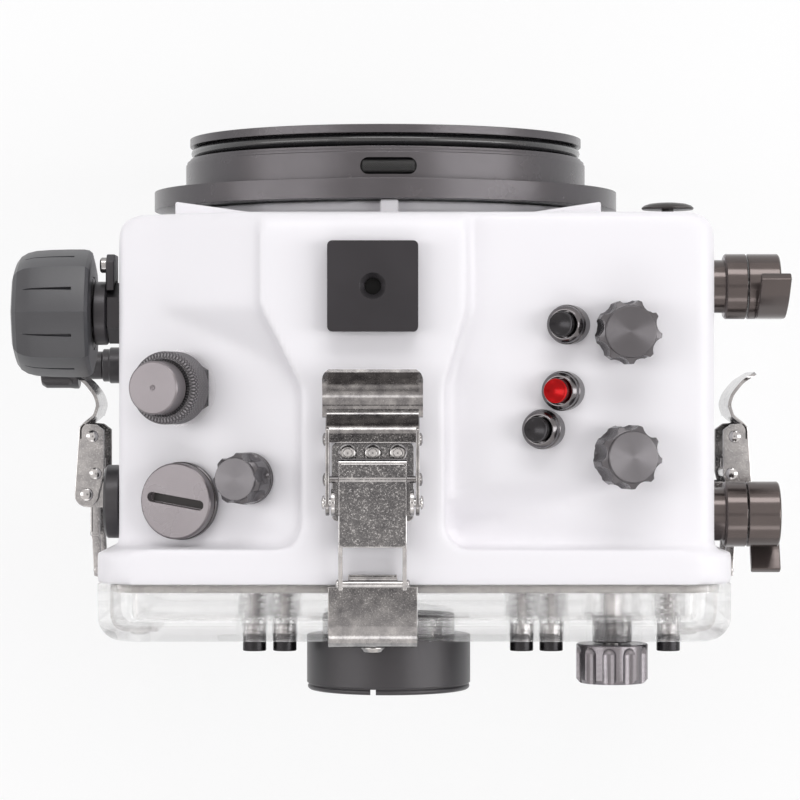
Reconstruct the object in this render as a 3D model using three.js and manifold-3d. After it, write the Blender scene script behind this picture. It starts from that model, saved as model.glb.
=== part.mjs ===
import * as THREE from "three";
import { mergeVertices } from "three/addons/utils/BufferGeometryUtils.js";
import Module from "manifold-3d";

const wasm = await Module();
wasm.setup();

// Underwater camera housing, in millimetres: +X to the right hand, +Y out through the lens port, +Z up.
// The origin is on the base plate's flat face, under the lens axis, midway along the plate.

// Overall sizes
const lensAxisHeight = 86;
const topHeight = 186;
const bodyWidth = 194.5;
const bodyCentreX = 9.75;
const bodyFront = 60.8;
const rimFront = -49;
const rimBack = -59.2;
const rimProud = 5.5;
const rimBottom = 2.5;
const coverBack = -78;
const seatGap = 0.3;
const overrun = 4;
const fineSides = 32;
const middleSides = 20;
const coarseSides = 12;
const pinSides = 8;

// White front housing
const bodyCornerRadius = 13;
const bodyNoseRadius = 7;
const wallThickness = 7;
const frontWallThickness = 8;
const ceilingDrop = 29;
const underside = 6;
const cavityCornerRadius = 9;
const portBoreRadius = 60;
const neckRadius = 72;
const neckLength = 4.9;
const humpLeft = -27;
const humpRight = 19.6;
const humpFlareLeft = -40;
const humpFlareRight = 27;
const humpFlareY = 30;
const humpWaistY = 4;
const pocketRear = -47.8;
const pocketCornerRadius = 7.5;
const rightChannelDepth = 8.5;
const rightDeckDepth = 4;
const rightDeckEdge = 34;
const wellDepth = 14;
const wellLeftY = -25.2;
const wellReach = 92;
const wellSlopeRun = 17;
const leftFloorDepth = 4.5;
const leftFloorTilt = THREE.MathUtils.degToRad(20);
const leftDeckDepth = 4;
const leftDeckBend = -42;
const leftDeckEnd = -74;
const facetToe = -31.6;
const facetFoot = 10.6;
const facetHead = 30;

// Base plate
const basePlateWidth = 118;
const basePlateLength = 92;
const basePlateCorner = 8;
const basePlateSetback = 3;
const trayHoleRadius = 3.2;
const trayHoleSpacing = 50;

// Lens port
const flangeRadius = 81;
const flangeThickness = 6.6;
const collarRadius = 70;
const collarLength = 9.4;
const portLipLength = 9.2;
const lipRadius = 68.6;
const sealRingRadius = 67.4;
const sealRingThickness = 1.7;
const sealSections = 3;
const lipGrooveDepth = 3.4;
const lipGrooveWidth = 4.2;
const lipGrooveSetback = 2.6;
const portClearRadius = 57;
const lockSlotWidth = 19.4;
const lockSlotHeight = 5.6;
const lockSlotDepth = 5;
const lockPinRadius = 2.3;
const lockPinX = 1.3;

// Accessory plate on the hump
const mountPlateSize = 29;
const mountPlateThickness = 6;
const mountPlateCorner = 1.6;
const mountPlateX = -3.6;
const mountPlateY = 36.3;
const mountHoleRadius = 2.7;
const mountSinkRadius = 4.3;
const mountSinkDepth = 1.6;

// Clear back cover
const coverWallThickness = 11;
const coverRearThickness = 6.5;
const coverCornerRadius = 8;
const rimCornerRadius = 14;
const backSealWidth = 3;
const backSealDepth = 2.6;
const backSealInset = 4.2;
const sealSidePlay = 0.3;

// Eyepiece
const eyepieceX = 1.3;
const eyepieceDrop = 46;
const eyepieceRadius = 27.3;
const eyepieceBore = 19;
const eyepieceLength = 18.4;
const eyepieceNeckRadius = 22;
const eyepieceChamfer = 1.6;
const eyepieceGlassThickness = 3;
const eyepieceGlassInset = 5;
const eyepieceNotch = 1.7;
const eyepieceNotchDepth = 1.2;
const eyepieceNotchX = -5;

// Draw latches: lever pivot, link pivot and hook bar, measured from the rim's outer level
const latchX = -3.6;
const sideLatchDrop = 88;
const latchPivotY = -32.5;
const latchPivotRise = 9.5;
const linkPivotAhead = 7.2;
const linkPivotDrop = 3;
const hookBehind = 26.1;
const hookDrop = 3.5;
const hookRadius = 1.2;
const hookPlay = 0.5;
const sheetThickness = 1.2;
const linkHalfWidth = 10.9;
const earInset = 11.9;
const leverInset = 13.7;
const leverTabHalfWidth = 16;
const leverReach = 41.7;
const leverTabLength = 14.6;
const leverDip = 4;
const leverCurl = 4.6;
const leverFlangeReach = 24.6;
const leverFlangeDrop = 6;
const leverFlangeEnd = 4.2;
const rivetAhead = 20;
const rivetDrop = 1.9;
const leverPlateEnd = 19.6;
const leverPlateRise = 2.6;
const earHalfLength = 4.4;
const pivotPinRadius = 1.4;
const pivotHeadRadius = 2.3;
const pivotHeadThickness = 0.9;
const linkPinRadius = 1.1;
const linkPlateFront = 6;
const linkPlateBack = 14.4;
const linkPlateLift = 1;
const linkBarrelRadius = 2.3;
const linkArmDrop = 1.6;
const linkArmTail = 1.8;
const linkArmWidth = 1.5;
const latchFootFront = 19;
const latchFootRear = 6.4;
const latchFootThickness = 1.5;
const keeperWidth = 28.6;
const keeperThickness = 1.3;
const keeperTongueWidth = 15.6;
const keeperFold = 15;
const keeperRidge = 1.3;
const keeperStepDown = 0.35;

// Round controls on the top right deck
const deckKnobFrontX = 77.4;
const deckKnobFrontY = 21.7;
const deckKnobFrontLift = 0.7;
const deckKnobFrontTilt = THREE.MathUtils.degToRad(4.5);
const deckKnobRearX = 75.9;
const deckKnobRearY = -18.1;
const deckKnobRearLift = 2.2;
const deckKnobRearTilt = THREE.MathUtils.degToRad(14);
const deckKnobBossRadius = 6;
const deckKnobBossDepth = 4;
const deckKnobRadius = 10.3;
const deckKnobHeight = 11.8;
const deckKnobStandoff = 0.8;
const deckKnobBaseHeight = 1.6;
const deckKnobFaceRadius = 8.4;
const deckKnobFaceHeight = 0.6;
const deckKnobLobes = 9;
const lobeDipShare = 0.17;
const lobeSteps = 4;
const deckKnobShaftRadius = 3;
const shaftInside = 6;

// Push buttons on the top right deck
const buttonTilt = THREE.MathUtils.degToRad(20);
const buttonAX = 59.4;
const buttonAY = 24.2;
const buttonBX = 57.7;
const buttonBY = 2.9;
const buttonCX = 51.4;
const buttonCY = -9.4;
const buttonGlandRadius = 6.4;
const buttonGlandHeight = 6;
const buttonTravel = 2.2;
const buttonCapRadius = 4;
const buttonCapHeight = 4.6;
const buttonCapProud = 3.2;
const buttonDish = 0.7;
const buttonStemRadius = 1.5;
const buttonCapChamfer = 0.4;
const runningGap = 0.4;

// Controls in the left pocket
const connectorX = -66.4;
const connectorY = 3.9;
const connectorNutFlats = 20;
const connectorNutHeight = 3;
const connectorCollarRadius = 11.8;
const connectorCollarHeight = 11;
const connectorCollarChamfer = 0.8;
const connectorCapRadius = 8.6;
const connectorCapHeight = 7.1;
const connectorCapChamfer = 0.6;
const connectorBodyRadius = 7.4;
const plugX = -65.5;
const plugY = -32.8;
const plugRadius = 12.4;
const plugHeight = 3.8;
const plugSeatRadius = 12.7;
const plugSeatHeight = 2.4;
const plugSpigotRadius = 6;
const plugSlotLength = 20;
const plugSlotWidth = 3.1;
const plugSlotTurn = THREE.MathUtils.degToRad(-9);
const plugSlotDepth = 2.4;
const plugChamfer = 0.6;
const smallKnobX = -43.3;
const smallKnobY = -25.3;
const smallKnobRadius = 8.4;
const smallKnobHeight = 11.4;
const smallKnobFaceRadius = 7;
const smallKnobFaceHeight = 1;
const smallKnobStandoff = 0.8;
const smallKnobLobes = 7;

// Controls on the left wall
const zoomKnobY = 29;
const zoomKnobDrop = 46;
const zoomKnobRadius = 21.4;
const zoomKnobLength = 26.6;
const zoomKnobStandoff = 9.8;
const zoomHubRadius = 12;
const gripEndThickness = 3.6;
const zoomRibCount = 8;
const zoomRibDepth = 1.2;
const zoomRibWidth = 1.3;
const zoomRibLength = 20;
const zoomCornerRadius = 6;
const zoomGlandRadius = 9.1;
const zoomCollarRadius = 10.6;
const zoomGlandLength = 5;
const zoomShaftRadius = 4;
const lowerKnobY = 12.5;
const lowerKnobUnderLatch = 38;
const lowerKnobRadius = 8.4;
const lowerKnobLength = 13.4;
const lowerKnobStandoff = 22.8;
const lowerGlandRadius = 6.5;
const lowerGlandLength = 14;
const lowerKnobFlutes = 8;
const lowerKnobNeckRadius = 5;
const fluteDipShare = 0.12;
const bossY = -33.8;
const bossDrop = 42;
const bossRadius = 12.2;
const bossThickness = 5.4;

// Controls on the right wall
const sideControlDrop = 36;
const shutterY = 37.6;
const lockLeverY = -37.8;
const sideGlandRadius = 8.8;
const sideGlandLength = 5.2;
const sideCollarRadius = 10.8;
const sideCollarLength = 7.2;
const sideHubLength = 10.6;
const sideShaftRadius = 3;
const armThickness = 3;
const armInset = 2.4;
const armProud = 1.6;
const armBendShare = 0.7;
const armLead = 2.6;
const shutterArmReach = 24;
const lockArmReach = 20;
const lockArmTurn = THREE.MathUtils.degToRad(115);
const sideBoreSlack = 0.4;

// Rear controls, carried by the clear cover
const rearControlDrop = 36;
const rearKnobRadius = 11.9;
const rearKnobLength = 13;
const rearKnobStandoff = 2.6;
const rearKnobLobes = 9;
const rearKnobBossRadius = 6;
const leftRearButtonXs = [-43.1, -33.1];
const lastRearButtonInset = 13;
const rearGapBeforeButtons = 0.5837;
const rearGapBetweenButtons = 0.0905;
const rearGapBeforeKnob = 0.1991;
const rearButtonRadius = 3.9;
const rearButtonProud = 5;
const rearButtonPiston = 4;
const rearButtonChamfer = 0.6;
const rearShaftRadius = 1.6;
const rearShaftTail = 3.4;
const rearClipRadius = 2.9;
const rearClipThickness = 1;
const cageWall = 1.3;
const cageShoulder = 1.5;
const cageSetback = 0.3;
const rearBoreSlack = 0.4;

// Return springs round the rear button shafts
const springCoilRadius = 3;
const springWireRadius = 0.45;
const springCurls = 5;
const springStepsPerCurl = 8;
const springSides = 5;
const springSeatGap = 0.4;

// Lens release on the front face
const releaseInset = 13.2;
const releaseDrop = 36;
const releaseRadius = 7.5;
const releaseStandoff = 2.3;
const releaseProud = 4.9;
const releaseDome = 1.6;
const releaseStemRadius = 2;

// Camera tray inside
const trayWidth = 120;
const trayLength = 84;
const trayThickness = 4;
const trayCentreY = 2;
const trayCornerRadius = 6;
const trayLift = 6;
const trayFootInset = 9;
const trayFootRadius = 5;
const trayScrewX = 6;
const trayScrewRadius = 3;
const trayScrewHeadRadius = 8;
const trayScrewHeadHeight = 4;
const trayScrewTip = 5;

// Values that follow from the sizes above
const bodyLeft = bodyCentreX - bodyWidth / 2;
const bodyRight = bodyCentreX + bodyWidth / 2;
const ceiling = topHeight - ceilingDrop;
const cavityFloor = underside + wallThickness;
const cavityFront = bodyFront - frontWallThickness;
const cavityRearLimit = rimBack - overrun;
const rightDeckZ = topHeight - rightDeckDepth;
const leftFloorZ = topHeight - leftFloorDepth;
const leftDeckZ = topHeight - leftDeckDepth;
const flangeBack = bodyFront + neckLength + seatGap;
const coverFront = rimBack - seatGap;
const coverInnerRear = coverBack + coverRearThickness;
const eyepieceZ = topHeight - eyepieceDrop;
const sideLatchZ = topHeight - sideLatchDrop;
const lowerKnobZ = sideLatchZ - lowerKnobUnderLatch;
const sideControlZ = topHeight - sideControlDrop;
const rearControlZ = topHeight - rearControlDrop;
const basePlateRear = rimFront + basePlateSetback;

// The rear controls right of the eyepiece: the last button keeps its place from the side wall, and the
// free width up to it is shared out between the others.
const lastRearButtonX = bodyRight - lastRearButtonInset;
const eyepieceEdgeX = eyepieceX + eyepieceRadius;
const rearFreeWidth =
  lastRearButtonX - eyepieceEdgeX - 5 * rearButtonRadius - 2 * rearKnobRadius;
const thirdRearButtonX = eyepieceEdgeX + rearGapBeforeButtons * rearFreeWidth + rearButtonRadius;
const fourthRearButtonX =
  thirdRearButtonX + 2 * rearButtonRadius + rearGapBetweenButtons * rearFreeWidth;
const rearKnobX =
  fourthRearButtonX + rearButtonRadius + rearGapBeforeKnob * rearFreeWidth + rearKnobRadius;
const rearButtonXs = [...leftRearButtonXs, thirdRearButtonX, fourthRearButtonX, lastRearButtonX];

const finishes = {
  white: finish(0xe9e6ee, 0.32, 0),
  black: finish(0x1f1f21, 0.4, 0.6),
  grey: finish(0x57555a, 0.45, 0.7),
  rubber: finish(0x3c3d40, 0.8, 0),
  steel: finish(0xb9b6b0, 0.25, 1),
  red: finish(0xc4121e, 0.25, 0.5),
  clear: finish(0xdfe6ea, 0.08, 0),
  seal: finish(0x101011, 0.2, 0),
};

const housing = new THREE.Group();

// Shared shape helpers
function finish(colour, roughness, metalness) {
  return new THREE.MeshStandardMaterial({ color: colour, roughness, metalness });
}

function solidOf(geometry) {
  const bare = geometry.clone();
  bare.deleteAttribute("normal");
  bare.deleteAttribute("uv");
  const merged = mergeVertices(bare);
  return new wasm.Manifold(
    new wasm.Mesh({
      numProp: 3,
      vertProperties: merged.attributes.position.array,
      triVerts: new Uint32Array(merged.index.array),
    }),
  );
}

function geometryOf(solid) {
  const mesh = solid.getMesh();
  const geometry = new THREE.BufferGeometry();
  geometry.setAttribute("position", new THREE.BufferAttribute(mesh.vertProperties, 3));
  geometry.setIndex(new THREE.BufferAttribute(mesh.triVerts, 1));
  const faceted = geometry.toNonIndexed();
  faceted.computeVertexNormals();
  return faceted;
}

function add(parent, name, shape, material) {
  const geometry = shape.isBufferGeometry ? shape : geometryOf(shape);
  const mesh = new THREE.Mesh(geometry, material);
  mesh.name = name;
  parent.add(mesh);
  return mesh;
}

function placed(x, y, z, rx = 0, ry = 0, rz = 0) {
  const group = new THREE.Group();
  group.position.set(x, y, z);
  group.rotation.set(rx, ry, rz);
  housing.add(group);
  return group;
}

function block(x0, x1, y0, y1, z0, z1) {
  const box = new THREE.BoxGeometry(x1 - x0, y1 - y0, z1 - z0);
  return box.translate((x0 + x1) / 2, (y0 + y1) / 2, (z0 + z1) / 2);
}

function rod(radius, z0, z1, sides = coarseSides, topRadius = radius) {
  const cylinder = new THREE.CylinderGeometry(topRadius, radius, z1 - z0, sides);
  return cylinder.rotateX(Math.PI / 2).translate(0, 0, (z0 + z1) / 2);
}

// A rod across a latch, along X.
function crossRod(radius, x0, x1, y, z, sides = pinSides) {
  return rod(radius, x0, x1, sides).rotateY(Math.PI / 2).translate(0, y, z);
}

// A turned piece about Z, from a closed profile of [radius, z] points.
function turned(profile, sides = middleSides) {
  const area = profile.reduce((sum, [r, z], i) => {
    const [nextR, nextZ] = profile[(i + 1) % profile.length];
    return sum + r * nextZ - nextR * z;
  }, 0);
  const ordered = area > 0 ? profile : [...profile].reverse();
  const touchesAxis = profile.some(([r]) => r === 0);
  const closed = touchesAxis ? ordered : [...ordered, ordered[0]];
  const start = touchesAxis ? firstAxisPoint(closed) : 0;
  const rotated = [...closed.slice(start), ...closed.slice(0, start)];
  const points = rotated.map(([r, z]) => new THREE.Vector2(r, z));
  return new THREE.LatheGeometry(points, sides).rotateX(Math.PI / 2);
}

// Where a profile that meets the axis has to start, so that it also ends there.
function firstAxisPoint(profile) {
  const last = profile.length;
  return profile.findIndex(([r], i) => r === 0 && profile[(i + last - 1) % last][0] === 0);
}

function roundedRectangle(x0, x1, y0, y1, radius) {
  const shape = new THREE.Shape();
  shape.absarc(x1 - radius, y0 + radius, radius, -Math.PI / 2, 0);
  shape.absarc(x1 - radius, y1 - radius, radius, 0, Math.PI / 2);
  shape.absarc(x0 + radius, y1 - radius, radius, Math.PI / 2, Math.PI);
  shape.absarc(x0 + radius, y0 + radius, radius, Math.PI, Math.PI * 1.5);
  return shape;
}

function polygon(points) {
  return new THREE.Shape(points.map(([x, y]) => new THREE.Vector2(x, y)));
}

// An outline in the plan view, raised from z0 to z1.
function plate(shape, z0, z1, curveSegments = 4) {
  const options = { depth: z1 - z0, bevelEnabled: false, curveSegments };
  return new THREE.ExtrudeGeometry(shape, options).translate(0, 0, z0);
}

// An outline seen from the front, in X and Z, run from y0 to y1.
function runAlongY(shape, y0, y1, curveSegments = 4) {
  return plate(shape, -y1, -y0, curveSegments).rotateX(Math.PI / 2);
}

// An outline seen from the right, in Y and Z, run from x0 to x1.
function runAlongX(shape, x0, x1, curveSegments = 4) {
  return plate(shape, x0, x1, curveSegments).rotateX(Math.PI / 2).rotateZ(Math.PI / 2);
}

function join(...shapes) {
  const solids = shapes.map((shape) => (shape.isBufferGeometry ? solidOf(shape) : shape));
  return solids.reduce((sum, next) => sum.add(next));
}

function cut(shape, ...tools) {
  return join(shape).subtract(join(...tools));
}

// A knob's outline: round tips with scooped hollows between them.
function lobedOutline(tipRadius, lobes, dipShare, steps) {
  const points = [];
  for (let i = 0; i < lobes * steps; i += 1) {
    const turn = (2 * Math.PI * i) / (lobes * steps);
    const scoop = Math.sin((lobes * turn) / 2) ** 2;
    const radius = tipRadius * (1 - dipShare * scoop);
    points.push([radius * Math.cos(turn), radius * Math.sin(turn)]);
  }
  return polygon(points);
}

// A bent sheet-metal strip: its centre line in Y and Z, and its thickness.
function stripOutline(line, thickness) {
  const half = thickness / 2;
  const centre = line.map(([y, z]) => new THREE.Vector2(y, z));
  const sides = centre.map((point, i) => {
    const before = centre[Math.max(i - 1, 0)];
    const after = centre[Math.min(i + 1, centre.length - 1)];
    const along = after.clone().sub(before).normalize();
    return new THREE.Vector2(-along.y, along.x).multiplyScalar(half);
  });
  const upper = centre.map((point, i) => point.clone().add(sides[i]));
  const lower = centre.map((point, i) => point.clone().sub(sides[i]));
  return new THREE.Shape([...lower, ...upper.reverse()]);
}

// Stations: each control's own frame, with its shaft along local +Z and its seat at local zero
function leftFloorAt(x) {
  return leftFloorZ - (humpLeft - x) * Math.tan(leftFloorTilt);
}

const stations = {
  frontDeckKnob: placed(
    deckKnobFrontX,
    deckKnobFrontY,
    rightDeckZ + deckKnobFrontLift,
    0,
    deckKnobFrontTilt,
  ),
  rearDeckKnob: placed(
    deckKnobRearX,
    deckKnobRearY,
    rightDeckZ + deckKnobRearLift,
    0,
    deckKnobRearTilt,
  ),
  buttonA: placed(buttonAX, buttonAY, rightDeckZ, 0, -buttonTilt),
  buttonB: placed(buttonBX, buttonBY, rightDeckZ, 0, -buttonTilt),
  buttonC: placed(buttonCX, buttonCY, rightDeckZ, 0, -buttonTilt),
  connector: placed(connectorX, connectorY, leftFloorAt(connectorX), 0, -leftFloorTilt),
  plug: placed(plugX, plugY, leftFloorAt(plugX), 0, -leftFloorTilt),
  smallKnob: placed(smallKnobX, smallKnobY, leftFloorAt(smallKnobX), 0, -leftFloorTilt),
  zoom: placed(bodyLeft, zoomKnobY, topHeight - zoomKnobDrop, 0, -Math.PI / 2),
  lowerKnob: placed(bodyLeft, lowerKnobY, lowerKnobZ, 0, -Math.PI / 2),
  boss: placed(bodyLeft, bossY, topHeight - bossDrop, 0, -Math.PI / 2),
  shutter: placed(bodyRight, shutterY, sideControlZ, 0, Math.PI / 2),
  lockLever: placed(bodyRight, lockLeverY, sideControlZ, 0, Math.PI / 2),
  release: placed(bodyRight - releaseInset, bodyFront, topHeight - releaseDrop, -Math.PI / 2),
  port: placed(0, flangeBack, lensAxisHeight, -Math.PI / 2),
  eyepiece: placed(eyepieceX, coverBack, eyepieceZ, Math.PI / 2),
  rearKnob: placed(rearKnobX, coverBack, rearControlZ, Math.PI / 2),
  topLatch: placed(latchX, latchPivotY, topHeight),
  leftLatch: placed(bodyLeft - rimProud, latchPivotY, sideLatchZ, 0, -Math.PI / 2),
  rightLatch: placed(bodyRight + rimProud, latchPivotY, sideLatchZ, 0, Math.PI / 2),
};
const rearButtonStations = rearButtonXs.map((x) => placed(x, coverBack, rearControlZ, Math.PI / 2));

// A hole for a control's shaft, made in the housing's own frame.
function boreAt(station, radius, depth) {
  station.updateMatrix();
  return rod(radius, -depth, overrun, coarseSides).applyMatrix4(station.matrix);
}

// The white housing: a deep open box with a raised hump, two pockets and a round port neck
function frontHousing() {
  const outline = roundedRectangle(bodyLeft, bodyRight, -topHeight, -underside, bodyCornerRadius);
  const nose = {
    depth: bodyFront - rimFront - bodyNoseRadius,
    bevelThickness: bodyNoseRadius,
    bevelSize: bodyNoseRadius,
    bevelOffset: -bodyNoseRadius,
    bevelSegments: 3,
    curveSegments: 4,
  };
  const body = new THREE.ExtrudeGeometry(outline, nose)
    .rotateX(-Math.PI / 2)
    .translate(0, rimFront, 0);
  const rim = runAlongY(rimOutline(0), rimBack, rimFront);
  const inRim = (rimBack + rimFront) / 2;
  const behindRim = block(bodyLeft, bodyRight, rimFront - nose.depth, inRim, 0, topHeight + overrun);
  const neck = rod(neckRadius, cavityFront, bodyFront + neckLength, fineSides)
    .rotateX(-Math.PI / 2)
    .translate(0, 0, lensAxisHeight);
  const portBore = rod(portBoreRadius, 0, bodyFront + neckLength + overrun, fineSides)
    .rotateX(-Math.PI / 2)
    .translate(0, 0, lensAxisHeight);
  const reliefs = [housingCavity(), portBore, rightRelief(), leftRelief()];
  const shell = cut(join(cut(body, behindRim), rim, neck), ...reliefs);
  return cut(join(shell, ...deckKnobBosses()), ...shaftBores());
}

// The small tilted pads that the two deck knobs stand on.
function deckKnobBosses() {
  return [stations.frontDeckKnob, stations.rearDeckKnob].map((station) => {
    station.updateMatrix();
    const pad = rod(deckKnobBossRadius, -deckKnobBossDepth, 0, coarseSides);
    return pad.applyMatrix4(station.matrix);
  });
}

// The rim's outline seen from the front, with its edge moved in by an inset.
function rimOutline(inset) {
  return roundedRectangle(
    bodyLeft - rimProud + inset,
    bodyRight + rimProud - inset,
    rimBottom + inset,
    topHeight - inset,
    rimCornerRadius - inset,
  );
}

function housingCavity() {
  const outline = roundedRectangle(
    bodyLeft + wallThickness,
    bodyRight - wallThickness,
    cavityFloor,
    ceiling,
    cavityCornerRadius,
  );
  return runAlongY(outline, cavityRearLimit, cavityFront);
}

// What is taken off right of the hump: a sloping channel, the control deck and the deep well behind it.
function rightRelief() {
  const far = bodyRight + overrun;
  const above = topHeight + overrun;
  const ahead = bodyFront + overrun;
  const plan = new THREE.Shape();
  plan.moveTo(far, pocketRear);
  plan.lineTo(far, ahead);
  plan.lineTo(humpFlareRight, ahead);
  plan.lineTo(humpFlareRight, humpFlareY);
  plan.lineTo(humpRight, humpWaistY);
  plan.absarc(
    humpRight + pocketCornerRadius,
    pocketRear + pocketCornerRadius,
    pocketCornerRadius,
    Math.PI,
    Math.PI * 1.5,
  );
  const section = polygon([
    [humpRight - overrun, topHeight - rightChannelDepth],
    [humpRight, topHeight - rightChannelDepth],
    [rightDeckEdge, rightDeckZ],
    [far, rightDeckZ],
    [far, above],
    [humpRight - overrun, above],
  ]);
  const relief = solidOf(plate(plan, ceiling, above)).intersect(
    solidOf(runAlongY(section, pocketRear - overrun, ahead)),
  );
  return join(relief, rightWell(above));
}

function rightWell(above) {
  const floor = topHeight - wellDepth;
  const foot = wellLeftY - wellSlopeRun;
  const well = [
    [pocketRear, floor],
    [foot, floor],
    [wellLeftY, rightDeckZ],
    [wellLeftY, above],
    [pocketRear, above],
  ];
  const trough = runAlongX(polygon(well), humpRight, bodyRight + overrun);
  const plan = new THREE.Shape();
  plan.moveTo(bodyRight, pocketRear);
  plan.lineTo(wellReach, wellLeftY);
  plan.lineTo(humpRight, wellLeftY);
  plan.absarc(
    humpRight + pocketCornerRadius,
    pocketRear + pocketCornerRadius,
    pocketCornerRadius,
    Math.PI,
    Math.PI * 1.5,
  );
  const ramp = polygon([
    [humpRight - overrun, floor],
    [humpRight, floor],
    [wellReach, rightDeckZ],
    [bodyRight, rightDeckZ],
    [bodyRight, above],
    [humpRight - overrun, above],
  ]);
  return solidOf(trough)
    .intersect(solidOf(plate(plan, ceiling, above)))
    .intersect(solidOf(runAlongY(ramp, pocketRear - overrun, bodyFront)));
}

// What is taken off left of the hump: a tilted floor, and ahead of a slanted facet the front deck,
// which falls away until it meets the floor.
function leftRelief() {
  const far = bodyLeft - overrun;
  const above = topHeight + overrun;
  const ahead = bodyFront + overrun;
  const behind = pocketRear - overrun;
  const plan = new THREE.Shape();
  plan.moveTo(far, ahead);
  plan.lineTo(far, pocketRear);
  plan.absarc(
    humpLeft - pocketCornerRadius,
    pocketRear + pocketCornerRadius,
    pocketCornerRadius,
    -Math.PI / 2,
    0,
  );
  plan.lineTo(humpLeft, humpWaistY);
  plan.lineTo(humpFlareLeft, humpFlareY);
  plan.lineTo(humpFlareLeft, ahead);
  const overFloor = polygon([
    [far, leftFloorAt(far)],
    [humpLeft, leftFloorZ],
    [humpLeft, above],
    [far, above],
  ]);
  const overDeck = polygon([
    [far, leftFloorAt(far)],
    [leftDeckEnd, leftFloorAt(leftDeckEnd)],
    [leftDeckBend, leftDeckZ],
    [humpLeft, leftDeckZ],
    [humpLeft, above],
    [far, above],
  ]);
  const facet = [
    new THREE.Vector3(facetToe, facetFoot, leftFloorAt(facetToe)),
    new THREE.Vector3(leftDeckBend, facetHead, leftDeckZ),
    new THREE.Vector3(leftDeckEnd, facetHead, leftFloorAt(leftDeckEnd)),
  ];
  const overEither = solidOf(runAlongY(overDeck, behind, ahead)).add(solidOf(overPlane(facet, bodyWidth)));
  return solidOf(plate(plan, ceiling, above))
    .intersect(solidOf(runAlongY(overFloor, behind, ahead)))
    .intersect(overEither);
}

// A large block that stands on the plane through three corners.
function overPlane(corners, reach) {
  const normal = new THREE.Triangle(...corners).getNormal(new THREE.Vector3());
  const turn = new THREE.Quaternion().setFromUnitVectors(new THREE.Vector3(0, 0, 1), normal);
  return block(-reach, reach, -reach, reach, 0, reach)
    .applyQuaternion(turn)
    .translate(...corners[0].toArray());
}

function shaftBores() {
  const depth = ceilingDrop + overrun;
  const slim = deckKnobShaftRadius + sideBoreSlack;
  const stem = buttonStemRadius + sideBoreSlack;
  const wide = zoomShaftRadius + sideBoreSlack;
  const side = sideShaftRadius + sideBoreSlack;
  const wall = wallThickness + overrun;
  const front = frontWallThickness + overrun;
  return [
    boreAt(stations.frontDeckKnob, slim, depth),
    boreAt(stations.rearDeckKnob, slim, depth),
    boreAt(stations.buttonA, stem, depth),
    boreAt(stations.buttonB, stem, depth),
    boreAt(stations.buttonC, stem, depth),
    boreAt(stations.smallKnob, slim, depth),
    boreAt(stations.connector, connectorBodyRadius + sideBoreSlack, depth),
    boreAt(stations.plug, plugSpigotRadius + sideBoreSlack, depth),
    boreAt(stations.zoom, wide, wall),
    boreAt(stations.lowerKnob, side, wall),
    boreAt(stations.boss, side, wall),
    boreAt(stations.shutter, side, wall),
    boreAt(stations.lockLever, side, wall),
    boreAt(stations.release, releaseStemRadius + sideBoreSlack, front),
  ];
}

add(housing, "front_housing", frontHousing(), finishes.white);

// Base plate with two tray holes
function basePlate() {
  const half = basePlateWidth / 2;
  const outline = roundedRectangle(
    -half,
    half,
    basePlateRear,
    basePlateRear + basePlateLength,
    basePlateCorner,
  );
  const holes = [-1, 1].map((side) =>
    rod(trayHoleRadius, -overrun, underside + overrun).translate((side * trayHoleSpacing) / 2, 0, 0),
  );
  return cut(plate(outline, 0, underside - seatGap), ...holes);
}

add(housing, "base_plate", basePlate(), finishes.black);

// Lens port: flange, slotted collar and grooved lip in one turned ring
function portRing() {
  const collarTop = flangeThickness + collarLength;
  const lipTop = collarTop + portLipLength;
  const grooveTop = lipTop - lipGrooveSetback;
  const grooveFoot = grooveTop - lipGrooveWidth;
  const grooveRadius = lipRadius - lipGrooveDepth;
  const profile = [
    [portClearRadius, 0],
    [flangeRadius, 0],
    [flangeRadius, flangeThickness],
    [collarRadius, flangeThickness],
    [collarRadius, collarTop],
    [lipRadius, collarTop],
    [lipRadius, grooveFoot],
    [grooveRadius, grooveFoot],
    [grooveRadius, grooveTop],
    [lipRadius, grooveTop],
    [lipRadius, lipTop],
    [portClearRadius, lipTop],
  ];
  const half = lockSlotWidth / 2;
  const middle = flangeThickness + collarLength / 2;
  const slot = block(
    lockPinX - half,
    lockPinX + half,
    -collarRadius - overrun,
    lockSlotDepth - collarRadius,
    middle - lockSlotHeight / 2,
    middle + lockSlotHeight / 2,
  );
  return cut(turned(profile, fineSides), slot);
}

// The O-ring fills its groove to a named play and stands a little proud of the lip.
function portSeal() {
  const centreZ = flangeThickness + collarLength + portLipLength - lipGrooveSetback - lipGrooveWidth / 2;
  const profile = new THREE.Path().absarc(sealRingRadius, centreZ, sealRingThickness, 0, Math.PI * 2);
  const points = profile.getPoints(sealSections).slice(0, -1);
  return turned(points.map((point) => [point.x, point.y]), fineSides);
}

function lockPin() {
  const half = lockSlotWidth / 2 - seatGap;
  const middle = flangeThickness + collarLength / 2;
  const seat = collarRadius - lockSlotDepth + lockPinRadius + seatGap;
  return crossRod(lockPinRadius, -half, half, -seat, 0, coarseSides).translate(lockPinX, 0, middle);
}

add(stations.port, "port_ring", portRing(), finishes.black);
add(stations.port, "port_seal", portSeal(), finishes.seal);
add(stations.port, "port_lock_roller", lockPin(), finishes.black);

// Accessory plate with a countersunk hole
function accessoryPlate() {
  const half = mountPlateSize / 2;
  const outline = roundedRectangle(-half, half, -half, half, mountPlateCorner);
  const hole = rod(mountHoleRadius, -overrun, mountPlateThickness + overrun);
  const foot = mountPlateThickness - mountSinkDepth;
  const sink = rod(mountHoleRadius, foot, mountPlateThickness, coarseSides, mountSinkRadius);
  return cut(plate(outline, 0, mountPlateThickness), hole, sink);
}

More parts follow.
